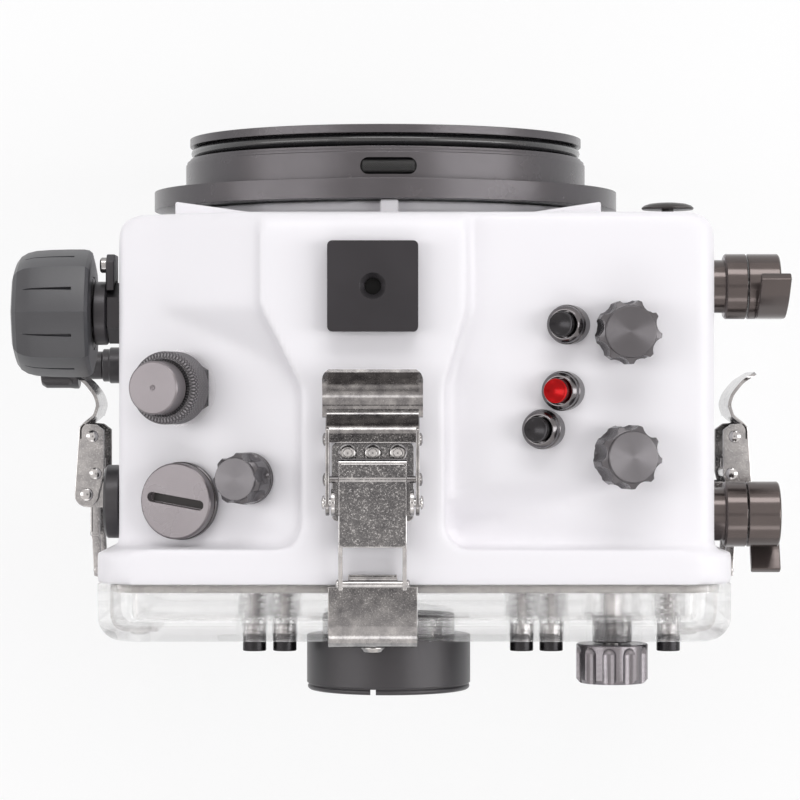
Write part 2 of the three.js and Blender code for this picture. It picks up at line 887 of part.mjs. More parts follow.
const accessorySeat = placed(mountPlateX, mountPlateY, topHeight + seatGap);
add(accessorySeat, "accessory_plate", accessoryPlate(), finishes.black);

// Clear back cover: a shallow clear box with its seal groove, shaft bores and spring cages
function backCover() {
  const depth = coverFront - coverBack - coverCornerRadius;
  const rounded = {
    depth,
    bevelThickness: coverCornerRadius,
    bevelSize: coverCornerRadius,
    bevelOffset: -coverCornerRadius,
    bevelSegments: 3,
    curveSegments: 3,
  };
  const body = new THREE.ExtrudeGeometry(rimOutline(0), rounded)
    .rotateX(Math.PI / 2)
    .translate(0, coverFront, 0);
  const left = bodyLeft - rimProud - overrun;
  const right = bodyRight + rimProud + overrun;
  const ahead = coverFront + coverCornerRadius + overrun;
  const inFront = block(left, right, coverFront, ahead, 0, topHeight + overrun);
  const cavity = runAlongY(rimOutline(coverWallThickness), coverInnerRear, coverFront + overrun);
  const opened = cut(body, inFront, cavity, sealGroove(), eyepieceHole());
  const cages = rearButtonStations.map((station) => inStation(station, cageTube()));
  const boss = inStation(stations.rearKnob, rod(rearKnobBossRadius, -coverCage(), 0));
  const bores = rearButtonStations.flatMap((station) => cageBores(station));
  const knobBore = rod(sideShaftRadius + rearBoreSlack, -coverCage() - overrun, overrun);
  return cut(join(opened, ...cages, boss), ...bores, inStation(stations.rearKnob, knobBore));
}

// How far a spring cage reaches in from the cover's rear face.
function coverCage() {
  return coverFront - coverBack - cageSetback;
}

function inStation(station, geometry) {
  station.updateMatrix();
  return geometry.clone().applyMatrix4(station.matrix);
}

function cageTube() {
  const outer = rearButtonRadius + rearBoreSlack + cageWall;
  return rod(outer, -coverCage(), -coverRearThickness / 2, coarseSides);
}

function cageBores(station) {
  const wide = rod(rearButtonRadius + rearBoreSlack, cageShoulder - coverCage(), overrun);
  const narrow = rod(rearShaftRadius + rearBoreSlack, -coverCage() - overrun, 0, pinSides);
  return [inStation(station, wide), inStation(station, narrow)];
}

function eyepieceHole() {
  const hole = rod(eyepieceNeckRadius + seatGap, -coverRearThickness - overrun, overrun, fineSides);
  return inStation(stations.eyepiece, hole);
}

// A ring that follows the rim's outline, between two insets.
function rimRing(outerInset, innerInset, y0, y1) {
  const ring = runAlongY(rimOutline(outerInset), y0, y1);
  return cut(ring, runAlongY(rimOutline(innerInset), y0 - overrun, y1 + overrun));
}

function sealGroove() {
  const outer = backSealInset - sealSidePlay;
  const inner = backSealInset + backSealWidth + sealSidePlay;
  return rimRing(outer, inner, coverFront - backSealDepth - sealSidePlay, coverFront + overrun);
}

function backSeal() {
  const inner = backSealInset + backSealWidth;
  return rimRing(backSealInset, inner, coverFront - backSealDepth, coverFront);
}

add(housing, "back_cover", backCover(), finishes.clear);
add(housing, "back_seal", backSeal(), finishes.seal);

// Eyepiece: a black tube seated on the cover, with its glass let into the rear end
function eyepieceTube() {
  const recess = eyepieceBore + eyepieceGlassInset / 2;
  const glassSeat = eyepieceLength - eyepieceGlassInset - eyepieceGlassThickness;
  const profile = [
    [eyepieceBore, -coverRearThickness],
    [eyepieceNeckRadius, -coverRearThickness],
    [eyepieceNeckRadius, seatGap],
    [eyepieceRadius, seatGap],
    [eyepieceRadius, eyepieceLength - eyepieceChamfer],
    [eyepieceRadius - eyepieceChamfer, eyepieceLength],
    [recess, eyepieceLength],
    [recess, glassSeat - seatGap],
    [eyepieceBore, glassSeat - seatGap],
  ];
  const half = eyepieceNotch / 2;
  const notch = block(
    eyepieceNotchX - half,
    eyepieceNotchX + half,
    eyepieceBore,
    eyepieceRadius + overrun,
    eyepieceLength - eyepieceNotchDepth,
    eyepieceLength + overrun,
  );
  return cut(turned(profile, fineSides), notch);
}

function eyepieceGlass() {
  const radius = eyepieceBore + eyepieceGlassInset / 2 - seatGap;
  const seat = eyepieceLength - eyepieceGlassInset - eyepieceGlassThickness;
  return rod(radius, seat, seat + eyepieceGlassThickness, fineSides);
}

add(stations.eyepiece, "eyepiece_tube", eyepieceTube(), finishes.black);
add(stations.eyepiece, "eyepiece_glass", eyepieceGlass(), finishes.clear);

// Draw latches: a footed bracket, an over-centre lever, a link with its hook bar, and a keeper
function latchBracket(foot) {
  const ear = new THREE.Shape();
  ear.moveTo(-earHalfLength, foot);
  ear.lineTo(earHalfLength, foot);
  ear.absarc(0, latchPivotRise, earHalfLength, 0, Math.PI);
  const outer = earInset + sheetThickness;
  const sole = block(-outer, outer, -latchFootRear, latchFootFront, foot, foot + latchFootThickness);
  const headStart = leverInset + sheetThickness + runningGap;
  const headEnd = headStart + pivotHeadThickness;
  const pieces = [-1, 1].flatMap((side) => {
    const mirrored = (from, to) => [Math.min(side * from, side * to), Math.max(side * from, side * to)];
    const [earLow, earHigh] = mirrored(earInset, outer);
    const [pinLow, pinHigh] = mirrored(earInset, headEnd);
    const [headLow, headHigh] = mirrored(headStart, headEnd);
    return [
      runAlongX(ear, earLow, earHigh),
      crossRod(pivotPinRadius, pinLow, pinHigh, 0, latchPivotRise),
      crossRod(pivotHeadRadius, headLow, headHigh, 0, latchPivotRise),
    ];
  });
  return join(sole, ...pieces);
}

// The lever's sheet in side view: flat over its flanges, a dip, then the finger tab curling out.
function leverLine() {
  const top = latchPivotRise + leverPlateRise - sheetThickness / 2;
  const tabStart = leverReach - leverTabLength;
  const dip = latchPivotRise - leverDip;
  return [
    [leverPlateEnd, top],
    [leverFlangeReach - sheetThickness, top],
    [tabStart, dip + sheetThickness],
    [tabStart + leverTabLength / 4, dip],
    [tabStart + leverTabLength / 2, dip + leverCurl / 4],
    [leverReach - leverTabLength / 5, dip + leverCurl],
    [leverReach, dip + leverCurl * 2],
  ];
}

function latchLever() {
  const flange = new THREE.Shape();
  const drop = latchPivotRise - leverFlangeDrop;
  const brow = latchPivotRise + leverPlateRise;
  flange.absarc(0, latchPivotRise, leverFlangeEnd, Math.PI / 2, Math.PI * 1.5);
  flange.lineTo(linkPivotAhead, drop);
  flange.lineTo(leverFlangeReach - sheetThickness, drop);
  flange.lineTo(leverFlangeReach, brow);
  const outer = leverInset + sheetThickness;
  const line = leverLine();
  const sheet = runAlongX(stripOutline(line, sheetThickness), -outer, outer);
  const tabLine = line.slice(2);
  const tab = runAlongX(stripOutline(tabLine, sheetThickness), -leverTabHalfWidth, leverTabHalfWidth);
  const pinEnd = outer + pivotHeadThickness;
  const linkPivotRise = latchPivotRise - linkPivotDrop;
  const pin = crossRod(linkPinRadius, -pinEnd, pinEnd, linkPivotAhead, linkPivotRise);
  const rivetRise = latchPivotRise - rivetDrop;
  const leftRivet = crossRod(pivotPinRadius, -pinEnd, -leverInset, rivetAhead, rivetRise);
  const rightRivet = crossRod(pivotPinRadius, leverInset, pinEnd, rivetAhead, rivetRise);
  const lever = join(
    runAlongX(flange, -outer, -leverInset),
    runAlongX(flange, leverInset, outer),
    sheet,
    tab,
    pin,
    leftRivet,
    rightRivet,
  );
  const holeRadius = pivotPinRadius + runningGap;
  const leftHole = crossRod(holeRadius, -pinEnd, -leverInset + seatGap, 0, latchPivotRise);
  const rightHole = crossRod(holeRadius, leverInset - seatGap, pinEnd, 0, latchPivotRise);
  return cut(lever, leftHole, rightHole);
}

function latchLink() {
  const pivotRise = latchPivotRise - linkPivotDrop;
  const plateFoot = pivotRise + linkPlateLift;
  const plateTop = plateFoot + sheetThickness;
  const hookRise = latchPivotRise - hookDrop;
  const plateFront = linkPivotAhead + linkPlateFront;
  const tail = -hookBehind - linkArmTail;
  const inner = linkHalfWidth - linkArmWidth;
  const armFoot = hookRise - linkArmDrop;
  const link = join(
    block(-linkHalfWidth, linkHalfWidth, -linkPlateBack, plateFront, plateFoot, plateTop),
    crossRod(linkBarrelRadius, -linkHalfWidth, linkHalfWidth, linkPivotAhead, pivotRise),
    block(-linkHalfWidth, -inner, tail, -linkPlateBack + sheetThickness, armFoot, plateTop),
    block(inner, linkHalfWidth, tail, -linkPlateBack + sheetThickness, armFoot, plateTop),
    crossRod(hookRadius, -inner - sheetThickness, inner + sheetThickness, -hookBehind, hookRise),
  );
  const bore = crossRod(
    linkPinRadius + runningGap,
    -linkHalfWidth - overrun,
    linkHalfWidth + overrun,
    linkPivotAhead,
    pivotRise,
  );
  return cut(link, bore);
}

// The keeper wraps the cover's rear edge, and its tongue stands up in front of the hook bar.
function latchKeeper() {
  const sole = seatGap;
  const top = sole + keeperThickness;
  const ridgeBack = -hookBehind + hookRadius + hookPlay;
  const ridgeFront = ridgeBack + keeperRidge;
  const tongueTop = latchPivotRise - hookDrop - keeperStepDown;
  const plateFront = coverFront - latchPivotY;
  const rear = coverBack - latchPivotY - seatGap;
  const half = keeperWidth / 2;
  const tongue = keeperTongueWidth / 2;
  return join(
    block(-half, half, rear - keeperThickness, plateFront, sole, top),
    block(-half, half, rear - keeperThickness, rear, -keeperFold, top),
    block(-tongue, tongue, plateFront - keeperThickness, ridgeFront, sole, top),
    block(-tongue, tongue, ridgeBack, ridgeFront, sole, tongueTop),
  );
}

const latches = [
  ["top", stations.topLatch, seatGap],
  ["left", stations.leftLatch, seatGap - rimProud],
  ["right", stations.rightLatch, seatGap - rimProud],
];
for (const [side, station, foot] of latches) {
  add(station, `${side}_latch_bracket`, latchBracket(foot), finishes.steel);
  add(station, `${side}_latch_lever`, latchLever(), finishes.steel);
  add(station, `${side}_latch_link`, latchLink(), finishes.steel);
  add(station, `${side}_latch_keeper`, latchKeeper(), finishes.steel);
}

// A plain gland: a bored ring seated on its wall
function glandRing(radius, height, boreRadius) {
  return turned(
    [
      [boreRadius, seatGap],
      [radius, seatGap],
      [radius, height],
      [boreRadius, height],
    ],
    middleSides,
  );
}

function lobedPrism(radius, lobes, dipShare, z0, z1) {
  return plate(lobedOutline(radius, lobes, dipShare, lobeSteps), z0, z1);
}

// Two lobed knobs on the right deck
function deckKnob() {
  const foot = deckKnobStandoff;
  const waist = foot + deckKnobBaseHeight;
  const face = foot + deckKnobHeight;
  const shaftEnd = rightDeckZ - ceiling + shaftInside;
  return join(
    rod(deckKnobRadius, foot, waist + seatGap, middleSides),
    lobedPrism(deckKnobRadius, deckKnobLobes, lobeDipShare, waist, face),
    rod(deckKnobFaceRadius, face - seatGap, face + deckKnobFaceHeight, middleSides),
    rod(deckKnobShaftRadius, -shaftEnd, foot + seatGap, pinSides),
  );
}

for (const side of ["front", "rear"]) {
  const station = stations[`${side}DeckKnob`];
  add(station, `${side}_deck_knob`, deckKnob(), finishes.black);
}

// Three tilted push buttons, each in a gland trimmed to the flat deck
function buttonGland() {
  const reach = buttonGlandRadius + overrun;
  const deck = block(-reach, reach, -reach, reach, -reach, seatGap).rotateY(buttonTilt);
  const recessFoot = buttonGlandHeight + buttonCapProud - buttonCapHeight - buttonTravel - runningGap;
  const recess = rod(buttonCapRadius + runningGap, recessFoot, buttonGlandHeight + overrun);
  const bore = rod(buttonStemRadius + sideBoreSlack, -reach, buttonGlandHeight);
  const sleeve = rod(buttonGlandRadius, -overrun, buttonGlandHeight, middleSides);
  return cut(sleeve, deck, recess, bore);
}

function buttonCap() {
  const top = buttonGlandHeight + buttonCapProud;
  const foot = top - buttonCapHeight;
  const stemEnd = (rightDeckZ - ceiling + shaftInside) / Math.cos(buttonTilt);
  return turned(
    [
      [0, -stemEnd],
      [buttonStemRadius, -stemEnd],
      [buttonStemRadius, foot],
      [buttonCapRadius, foot],
      [buttonCapRadius, top - buttonCapChamfer],
      [buttonCapRadius - buttonCapChamfer, top],
      [buttonCapRadius / 2, top - buttonDish],
      [0, top - buttonDish],
    ],
    coarseSides,
  );
}

for (const letter of ["A", "B", "C"]) {
  const station = stations[`button${letter}`];
  const name = `deck_button_${letter.toLowerCase()}`;
  add(station, name, buttonCap(), letter === "B" ? finishes.red : finishes.black);
  add(station, `${name}_gland`, buttonGland(), finishes.black);
}

// Left pocket: cable connector, slotted plug and a small lobed knob
function connectorBody() {
  const flats = new THREE.CylinderGeometry(
    connectorNutFlats / Math.sqrt(3),
    connectorNutFlats / Math.sqrt(3),
    connectorNutHeight,
    6,
  );
  const nut = flats.rotateX(Math.PI / 2).translate(0, 0, seatGap + connectorNutHeight / 2);
  const collarTop = connectorNutHeight + connectorCollarHeight + 2 * seatGap;
  const foot = leftFloorAt(connectorX) - ceiling + shaftInside;
  return join(nut, rod(connectorBodyRadius, -foot, collarTop));
}

function connectorCollar() {
  const foot = connectorNutHeight + 2 * seatGap;
  const top = foot + connectorCollarHeight;
  const bore = connectorBodyRadius + runningGap;
  return turned([
    [bore, foot],
    [connectorCollarRadius, foot],
    [connectorCollarRadius, top - connectorCollarChamfer],
    [connectorCollarRadius - connectorCollarChamfer, top],
    [bore, top],
  ]);
}

function connectorCap() {
  const foot = connectorNutHeight + connectorCollarHeight + 3 * seatGap;
  const top = foot + connectorCapHeight;
  return turned([
    [0, foot],
    [connectorCapRadius, foot],
    [connectorCapRadius, top - connectorCapChamfer],
    [connectorCapRadius - connectorCapChamfer, top],
    [0, top],
  ]);
}

add(stations.connector, "connector_body", connectorBody(), finishes.black);
add(stations.connector, "connector_collar", connectorCollar(), finishes.black);
add(stations.connector, "connector_cap", connectorCap(), finishes.grey);

function ventPlug() {
  const foot = plugSeatHeight + seatGap;
  const top = foot + plugHeight;
  const disc = turned([
    [0, -shaftInside],
    [plugSpigotRadius, -shaftInside],
    [plugSpigotRadius, foot],
    [plugRadius, foot],
    [plugRadius, top - plugChamfer],
    [plugRadius - plugChamfer, top],
    [0, top],
  ]);
  const half = plugSlotWidth / 2;
  const straight = plugSlotLength / 2;
  const slot = roundedRectangle(-straight, straight, -half, half, half);
  return cut(disc, plate(slot, top - plugSlotDepth, top + overrun).rotateZ(plugSlotTurn));
}

const plugSeat = glandRing(plugSeatRadius, plugSeatHeight, plugSpigotRadius + runningGap);
add(stations.plug, "vent_plug", ventPlug(), finishes.grey);
add(stations.plug, "vent_plug_seat", plugSeat, finishes.black);

function smallKnob() {
  const waist = smallKnobStandoff + smallKnobHeight;
  const shaftEnd = leftFloorAt(smallKnobX) - ceiling + shaftInside;
  return join(
    lobedPrism(smallKnobRadius, smallKnobLobes, lobeDipShare, smallKnobStandoff, waist),
    rod(smallKnobFaceRadius, waist - seatGap, waist + smallKnobFaceHeight, middleSides),
    rod(deckKnobShaftRadius, -shaftEnd, smallKnobStandoff + seatGap, pinSides),
  );
}

add(stations.smallKnob, "small_knob", smallKnob(), finishes.black);

// Left wall: the large rubber-gripped zoom knob, a lower knob and a blanking boss
function zoomGrip() {
  const foot = zoomKnobStandoff;
  const end = foot + zoomKnobLength;
  const soft = zoomCornerRadius;
  const bend = soft * (1 - Math.SQRT1_2);
  const socket = zoomHubRadius + seatGap;
  const grip = turned([
    [socket, foot],
    [zoomKnobRadius - soft / 2, foot],
    [zoomKnobRadius, foot + soft / 2],
    [zoomKnobRadius, end - soft],
    [zoomKnobRadius - bend, end - bend],
    [zoomKnobRadius - soft, end],
    [0, end],
    [0, end - gripEndThickness],
    [socket, end - gripEndThickness],
  ]);
  const middle = foot + zoomKnobLength / 2;
  const slits = Array.from({ length: zoomRibCount }, (unused, i) =>
    block(
      zoomKnobRadius - zoomRibDepth,
      zoomKnobRadius + overrun,
      -zoomRibWidth / 2,
      zoomRibWidth / 2,
      middle - zoomRibLength / 2,
      middle + zoomRibLength / 2,
    ).rotateZ((2 * Math.PI * i) / zoomRibCount),
  );
  return cut(grip, ...slits);
}

function zoomHub() {
  const hubEnd = zoomKnobStandoff + zoomKnobLength - gripEndThickness - seatGap;
  return turned(
    [
      [0, -wallThickness - shaftInside],
      [zoomShaftRadius, -wallThickness - shaftInside],
      [zoomShaftRadius, zoomKnobStandoff],
      [zoomHubRadius, zoomKnobStandoff],
      [zoomHubRadius, hubEnd],
      [0, hubEnd],
    ],
    coarseSides,
  );
}

function zoomGland() {
  const shoulder = zoomGlandLength;
  const end = zoomKnobStandoff - runningGap;
  const bore = zoomShaftRadius + sideBoreSlack;
  return turned([
    [bore, seatGap],
    [zoomGlandRadius, seatGap],
    [zoomGlandRadius, shoulder],
    [zoomCollarRadius, shoulder],
    [zoomCollarRadius, end],
    [bore, end],
  ]);
}

add(stations.zoom, "zoom_knob_grip", zoomGrip(), finishes.rubber);
add(stations.zoom, "zoom_knob_hub", zoomHub(), finishes.black);
add(stations.zoom, "zoom_knob_gland", zoomGland(), finishes.black);

function lowerKnob() {
  const neckFoot = lowerGlandLength + runningGap;
  const end = lowerKnobStandoff + lowerKnobLength;
  return join(
    rod(sideShaftRadius, -wallThickness - shaftInside, lowerKnobStandoff, pinSides),
    rod(lowerKnobNeckRadius, neckFoot, lowerKnobStandoff + seatGap),
    lobedPrism(lowerKnobRadius, lowerKnobFlutes, fluteDipShare, lowerKnobStandoff, end),
  );
}

function blankingBoss() {
  return turned([
    [0, -wallThickness],
    [sideShaftRadius, -wallThickness],
    [sideShaftRadius, seatGap],
    [bossRadius, seatGap],
    [bossRadius, bossThickness - seatGap],
    [bossRadius - seatGap, bossThickness],
    [0, bossThickness],
  ]);
}

const lowerGland = glandRing(lowerGlandRadius, lowerGlandLength, sideShaftRadius + sideBoreSlack);
add(stations.lowerKnob, "lower_knob", lowerKnob(), finishes.black);
add(stations.lowerKnob, "lower_knob_gland", lowerGland, finishes.black);
add(stations.boss, "blanking_boss", blankingBoss(), finishes.black);

// Right wall: the shutter lever and the lock lever, each on a stepped gland
function sideGland() {
  const end = sideGlandLength + sideCollarLength;
  const bore = sideShaftRadius + sideBoreSlack;
  return turned([
    [bore, seatGap],
    [sideGlandRadius, seatGap],
    [sideGlandRadius, sideGlandLength],
    [sideCollarRadius, sideGlandLength],
    [sideCollarRadius, end],
    [bore, end],
  ]);
}

// A lever's hub and shaft, with a curved paddle that leaves the hub's rear edge and crosses over its axis.
function sideLever(reach, turn) {
  const foot = sideGlandLength + sideCollarLength + runningGap;
  const end = foot + sideHubLength;
  const root = armThickness / 2 - sideCollarRadius;
  const line = [
    [0, root],
    [-reach / 3, root],
    [-reach * armBendShare, root / 2],
    [-reach, armLead],
  ];
  const paddle = plate(stripOutline(line, armThickness), foot + armInset, end + armProud);
  const lever = join(
    rod(sideShaftRadius, -wallThickness - shaftInside, foot + seatGap, pinSides),
    rod(sideCollarRadius, foot, end, middleSides),
    paddle,
  );
  return geometryOf(lever).rotateZ(turn);
}

add(stations.shutter, "shutter_lever", sideLever(shutterArmReach, 0), finishes.black);
add(stations.shutter, "shutter_gland", sideGland(), finishes.black);
add(stations.lockLever, "lock_lever", sideLever(lockArmReach, lockArmTurn), finishes.black);
add(stations.lockLever, "lock_lever_gland", sideGland(), finishes.black);

// Rear: the lobed knob and the sprung buttons in their clear cages
function rearKnob() {
  const end = rearKnobStandoff + rearKnobLength;
  return join(
    rod(sideShaftRadius, -coverCage() - seatGap, rearKnobStandoff + seatGap, pinSides),
    lobedPrism(rearKnobRadius, rearKnobLobes, lobeDipShare, rearKnobStandoff, end),
  );
}

function rearButton() {
  const tail = -coverCage() - rearShaftTail;
  const clipTop = -coverCage() - seatGap;
  const clipFoot = clipTop - rearClipThickness;
  return turned(
    [
      [0, tail],
      [rearShaftRadius, tail],
      [rearShaftRadius, clipFoot],
      [rearClipRadius, clipFoot],
      [rearClipRadius, clipTop],
      [rearShaftRadius, clipTop],
      [rearShaftRadius, -rearButtonPiston],
      [rearButtonRadius, -rearButtonPiston],
      [rearButtonRadius, rearButtonProud - rearButtonChamfer],
      [rearButtonRadius - rearButtonChamfer, rearButtonProud],
      [0, rearButtonProud],
    ],
    coarseSides,
  );
}

// The spring's centre line: a steady helix between two straight ends along the wire's last direction.
function springPath() {
  const foot = cageShoulder - coverCage() + springSeatGap + springWireRadius;
  const head = -rearButtonPiston - springSeatGap - springWireRadius;
  const steps = springCurls * springStepsPerCurl;
  const coil = Array.from({ length: steps + 1 }, (unused, i) => {
    const turn = (2 * Math.PI * i) / springStepsPerCurl;
    const height = foot + ((head - foot) * i) / steps;
    return new THREE.Vector3(springCoilRadius * Math.cos(turn), springCoilRadius * Math.sin(turn), height);
  });
  const stub = 2 * springWireRadius;
  const before = coil[0].clone().add(new THREE.Vector3(0, -stub, 0));
  const after = coil[steps].clone().add(new THREE.Vector3(0, stub, 0));
  return [before, ...coil, after];
}

// A closed round tube along a list of points, its rings turned to the path at every point.
function wireAlong(path, radius, sides) {
  const positions = [];
  const indices = [];
  path.forEach((point, i) => {
    const before = path[Math.max(i - 1, 0)];
    const after = path[Math.min(i + 1, path.length - 1)];
    const along = after.clone().sub(before).normalize();
    const outward = new THREE.Vector3(point.x, point.y, 0).normalize();
    const level = new THREE.Vector3().crossVectors(along, outward).normalize();
    const square = new THREE.Vector3().crossVectors(level, along);
    for (let k = 0; k < sides; k += 1) {
      const turn = (2 * Math.PI * k) / sides;
      const spot = point
        .clone()
        .addScaledVector(square, radius * Math.cos(turn))
        .addScaledVector(level, radius * Math.sin(turn));
      positions.push(spot.x, spot.y, spot.z);
    }
  });
  const rings = path.length;
  for (let i = 0; i + 1 < rings; i += 1) {
    for (let k = 0; k < sides; k += 1) {
      const a = i * sides + k;
      const b = i * sides + ((k + 1) % sides);
      indices.push(a, b, b + sides, a, b + sides, a + sides);
    }
  }
  for (let k = 1; k + 1 < sides; k += 1) {
    const last = (rings - 1) * sides;
    indices.push(0, k + 1, k);
    indices.push(last, last + k, last + k + 1);
  }
  const geometry = new THREE.BufferGeometry();
  geometry.setAttribute("position", new THREE.Float32BufferAttribute(positions, 3));
  geometry.setIndex(indices);
  geometry.computeVertexNormals();
  return geometry;
}

// The least open gap between the turns of a wire, measured between points over half a turn apart.
function leastGap(path, radius, apart) {
  let least = Infinity;
  for (let i = 0; i < path.length; i += 1) {
    for (let k = i + apart; k < path.length; k += 1) {
      least = Math.min(least, path[i].distanceTo(path[k]) - 2 * radius);
    }
  }
  return least;
}

const springLine = springPath();
const springGap = leastGap(springLine, springWireRadius, springStepsPerCurl - 2);
console.log(`return spring: ${springCurls} curls, least gap to itself ${springGap.toFixed(2)} mm`);

add(stations.rearKnob, "rear_knob", rearKnob(), finishes.black);
rearButtonStations.forEach((station, i) => {
  add(station, `rear_button_${i + 1}`, rearButton(), finishes.black);
  const spring = wireAlong(springLine, springWireRadius, springSides);
  add(station, `rear_button_${i + 1}_spring`, spring, finishes.steel);
});

// Front: the lens release button
function releaseButton() {
  const top = releaseProud;
  return turned(
    [
      [0, -frontWallThickness - shaftInside],
      [releaseStemRadius, -frontWallThickness - shaftInside],
      [releaseStemRadius, releaseStandoff],
      [releaseRadius, releaseStandoff],
      [releaseRadius, top - releaseDome],
      [releaseRadius * Math.cos(Math.PI / 6), top - releaseDome / 2],
      [releaseRadius / 2, top - releaseDome * (1 - Math.cos(Math.PI / 6))],
      [0, top],
    ],
    coarseSides,
  );
}

add(stations.release, "lens_release_button", releaseButton(), finishes.black);

// Inside: the camera tray on four feet and its thumb screw
function cameraTray() {
  const half = trayWidth / 2;
  const rear = trayCentreY - trayLength / 2;
  const front = trayCentreY + trayLength / 2;
  const foot = cavityFloor + trayLift;
  const outline = roundedRectangle(-half, half, rear, front, trayCornerRadius);
  const feet = [-1, 1].flatMap((sideX) =>
    [rear + trayFootInset, front - trayFootInset].map((y) =>
      rod(trayFootRadius, cavityFloor + seatGap, foot + seatGap).translate(
        sideX * (half - trayFootInset),
        y,
        0,
      ),
    ),
  );
  const hole = rod(trayScrewRadius + runningGap, foot - overrun, foot + trayThickness + overrun);
  const sheet = plate(outline, foot, foot + trayThickness);
  return cut(join(sheet, ...feet), hole.translate(trayScrewX, trayCentreY, 0));
}

function trayScrew() {
  const headTop = cavityFloor + trayLift - seatGap;
  const tip = headTop + seatGap + trayThickness + trayScrewTip;
  return turned(
    [
      [0, headTop - trayScrewHeadHeight],
      [trayScrewHeadRadius, headTop - trayScrewHeadHeight],
      [trayScrewHeadRadius, headTop],
      [trayScrewRadius, headTop],
      [trayScrewRadius, tip],
      [0, tip],
    ],
    coarseSides,
  ).translate(trayScrewX, trayCentreY, 0);
}

add(housing, "camera_tray", cameraTray(), finishes.grey);
add(housing, "tray_screw", trayScrew(), finishes.steel);

export default housing;
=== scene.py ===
import math

import bpy
from mathutils import Euler, Matrix, Vector


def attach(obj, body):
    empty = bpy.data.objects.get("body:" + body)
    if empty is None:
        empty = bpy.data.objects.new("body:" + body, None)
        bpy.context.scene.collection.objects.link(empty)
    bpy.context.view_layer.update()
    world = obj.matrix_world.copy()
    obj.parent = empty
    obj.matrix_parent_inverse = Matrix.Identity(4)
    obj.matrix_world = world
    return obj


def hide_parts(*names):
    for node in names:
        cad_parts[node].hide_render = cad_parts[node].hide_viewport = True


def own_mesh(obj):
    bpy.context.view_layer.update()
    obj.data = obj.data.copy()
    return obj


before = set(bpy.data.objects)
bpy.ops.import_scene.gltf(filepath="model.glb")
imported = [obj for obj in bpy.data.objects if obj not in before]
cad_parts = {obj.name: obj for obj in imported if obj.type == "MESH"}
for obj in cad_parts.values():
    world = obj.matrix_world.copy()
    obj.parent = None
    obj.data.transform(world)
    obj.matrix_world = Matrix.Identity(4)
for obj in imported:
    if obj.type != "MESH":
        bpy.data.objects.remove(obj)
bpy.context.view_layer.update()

# The studio: the housing lies on a white sweep and is seen from straight above, about a metre
# over its top deck. Two long softboxes stand left and right, and a third hangs over the port.
MM = 0.001
scene = bpy.context.scene
scene.view_settings.view_transform = "Standard"

CAMERA_PLACE = (5.1 * MM, 0, 1186 * MM)
PICTURE_WIDTH = 800
FOCAL_LENGTH = 3125  # in the picture's pixels
VIEW_ANGLE = 2 * math.atan(PICTURE_WIDTH / 2 / FOCAL_LENGTH)
SWEEP_SIZE = 12
SWEEP_DROP = 0.2 * MM
SWEEP_GLOW = 0.8
DARK_CEILING = 4.5  # degrees from straight up, over the camera
FULL_CEILING = 5.8


class Finish:
    """A procedural material whose sockets take part in Python sums."""

    def __init__(self, name):
        self.material = bpy.data.materials.new(name)
        self.material.use_nodes = True
        self.tree = self.material.node_tree
        self.tree.nodes.clear()
        self.output = self.tree.nodes.new("ShaderNodeOutputMaterial")

    def put(self, socket, value):
        if isinstance(value, Signal):
            self.tree.links.new(value.socket, socket)
        elif value is not None:
            socket.default_value = value

    def node(self, kind, settings=None, **inputs):
        made = self.tree.nodes.new(kind)
        for key, value in (settings or {}).items():
            setattr(made, key, value)
        for key, value in inputs.items():
            numbered = key[0] == "i" and key[1:].isdigit()
            index = int(key[1:]) if numbered else key.replace("_", " ")
            self.put(made.inputs[index], value)
        return made

    def signal(self, kind, output, settings=None, **inputs):
        return Signal(self, self.node(kind, settings, **inputs).outputs[output])

    def place(self, matrix=None):
        """Object coordinates in metres, seen from a piece's own seat."""
        point = self.signal("ShaderNodeTexCoord", "Object")
        if matrix is None:
            return point
        return self.signal(
            "ShaderNodeMapping",
            "Vector",
            {"vector_type": "TEXTURE"},
            Vector=point,
            Location=tuple(matrix.to_translation()),
            Rotation=tuple(matrix.to_euler()),
        )

    def noise(self, point, scale, detail=2.0, roughness=0.5):
        inputs = {"Vector": point, "Scale": scale, "Detail": detail, "Roughness": roughness}
        return self.signal("ShaderNodeTexNoise", 0, None, **inputs)

    def mix(self, factor, first, second):
        colours = {"data_type": "RGBA"}
        return self.signal("ShaderNodeMix", 2, colours, i0=factor, i6=first, i7=second)

    def bump(self, height, distance, strength):
        inputs = {"Height": height, "Distance": distance, "Strength": strength}
        return self.signal("ShaderNodeBump", 0, None, **inputs)

    def surface(self, **inputs):
        shader = self.node("ShaderNodeBsdfPrincipled", None, **inputs)
        self.tree.links.new(shader.outputs[0], self.output.inputs[0])
        return self

    def wear(self, piece):
        piece.data.materials.clear()
        piece.data.materials.append(self.material)


class Signal:
    """One output socket, so that sums on it add Math nodes."""

    def __init__(self, finish, socket):
        self.finish = finish
        self.socket = socket

    def math(self, operation, *others, clamp=False):
        settings = {"operation": operation, "use_clamp": clamp}
        inputs = {f"i{i}": value for i, value in enumerate((self, *others))}
        return self.finish.signal("ShaderNodeMath", 0, settings, **inputs)

    def __add__(self, other):
        return self.math("ADD", other)

    __radd__ = __add__

    def __mul__(self, other):
        return self.math("MULTIPLY", other)

    __rmul__ = __mul__

    def __sub__(self, other):
        return self.math("SUBTRACT", other)

    def __rsub__(self, other):
        return (self * -1.0) + other

    def __pow__(self, other):
        return self.math("POWER", other)

    def clamped(self):
        return self.math("ADD", 0.0, clamp=True)

    def part(self, letter):
        return self.finish.signal("ShaderNodeSeparateXYZ", "XYZ".index(letter), None, Vector=self)


def alone(piece):
    """Makes a piece the only selected and active object."""
    bpy.ops.object.select_all(action="DESELECT")
    piece.hide_set(False)
    piece.select_set(True)
    bpy.context.view_layer.objects.active = piece
    return piece


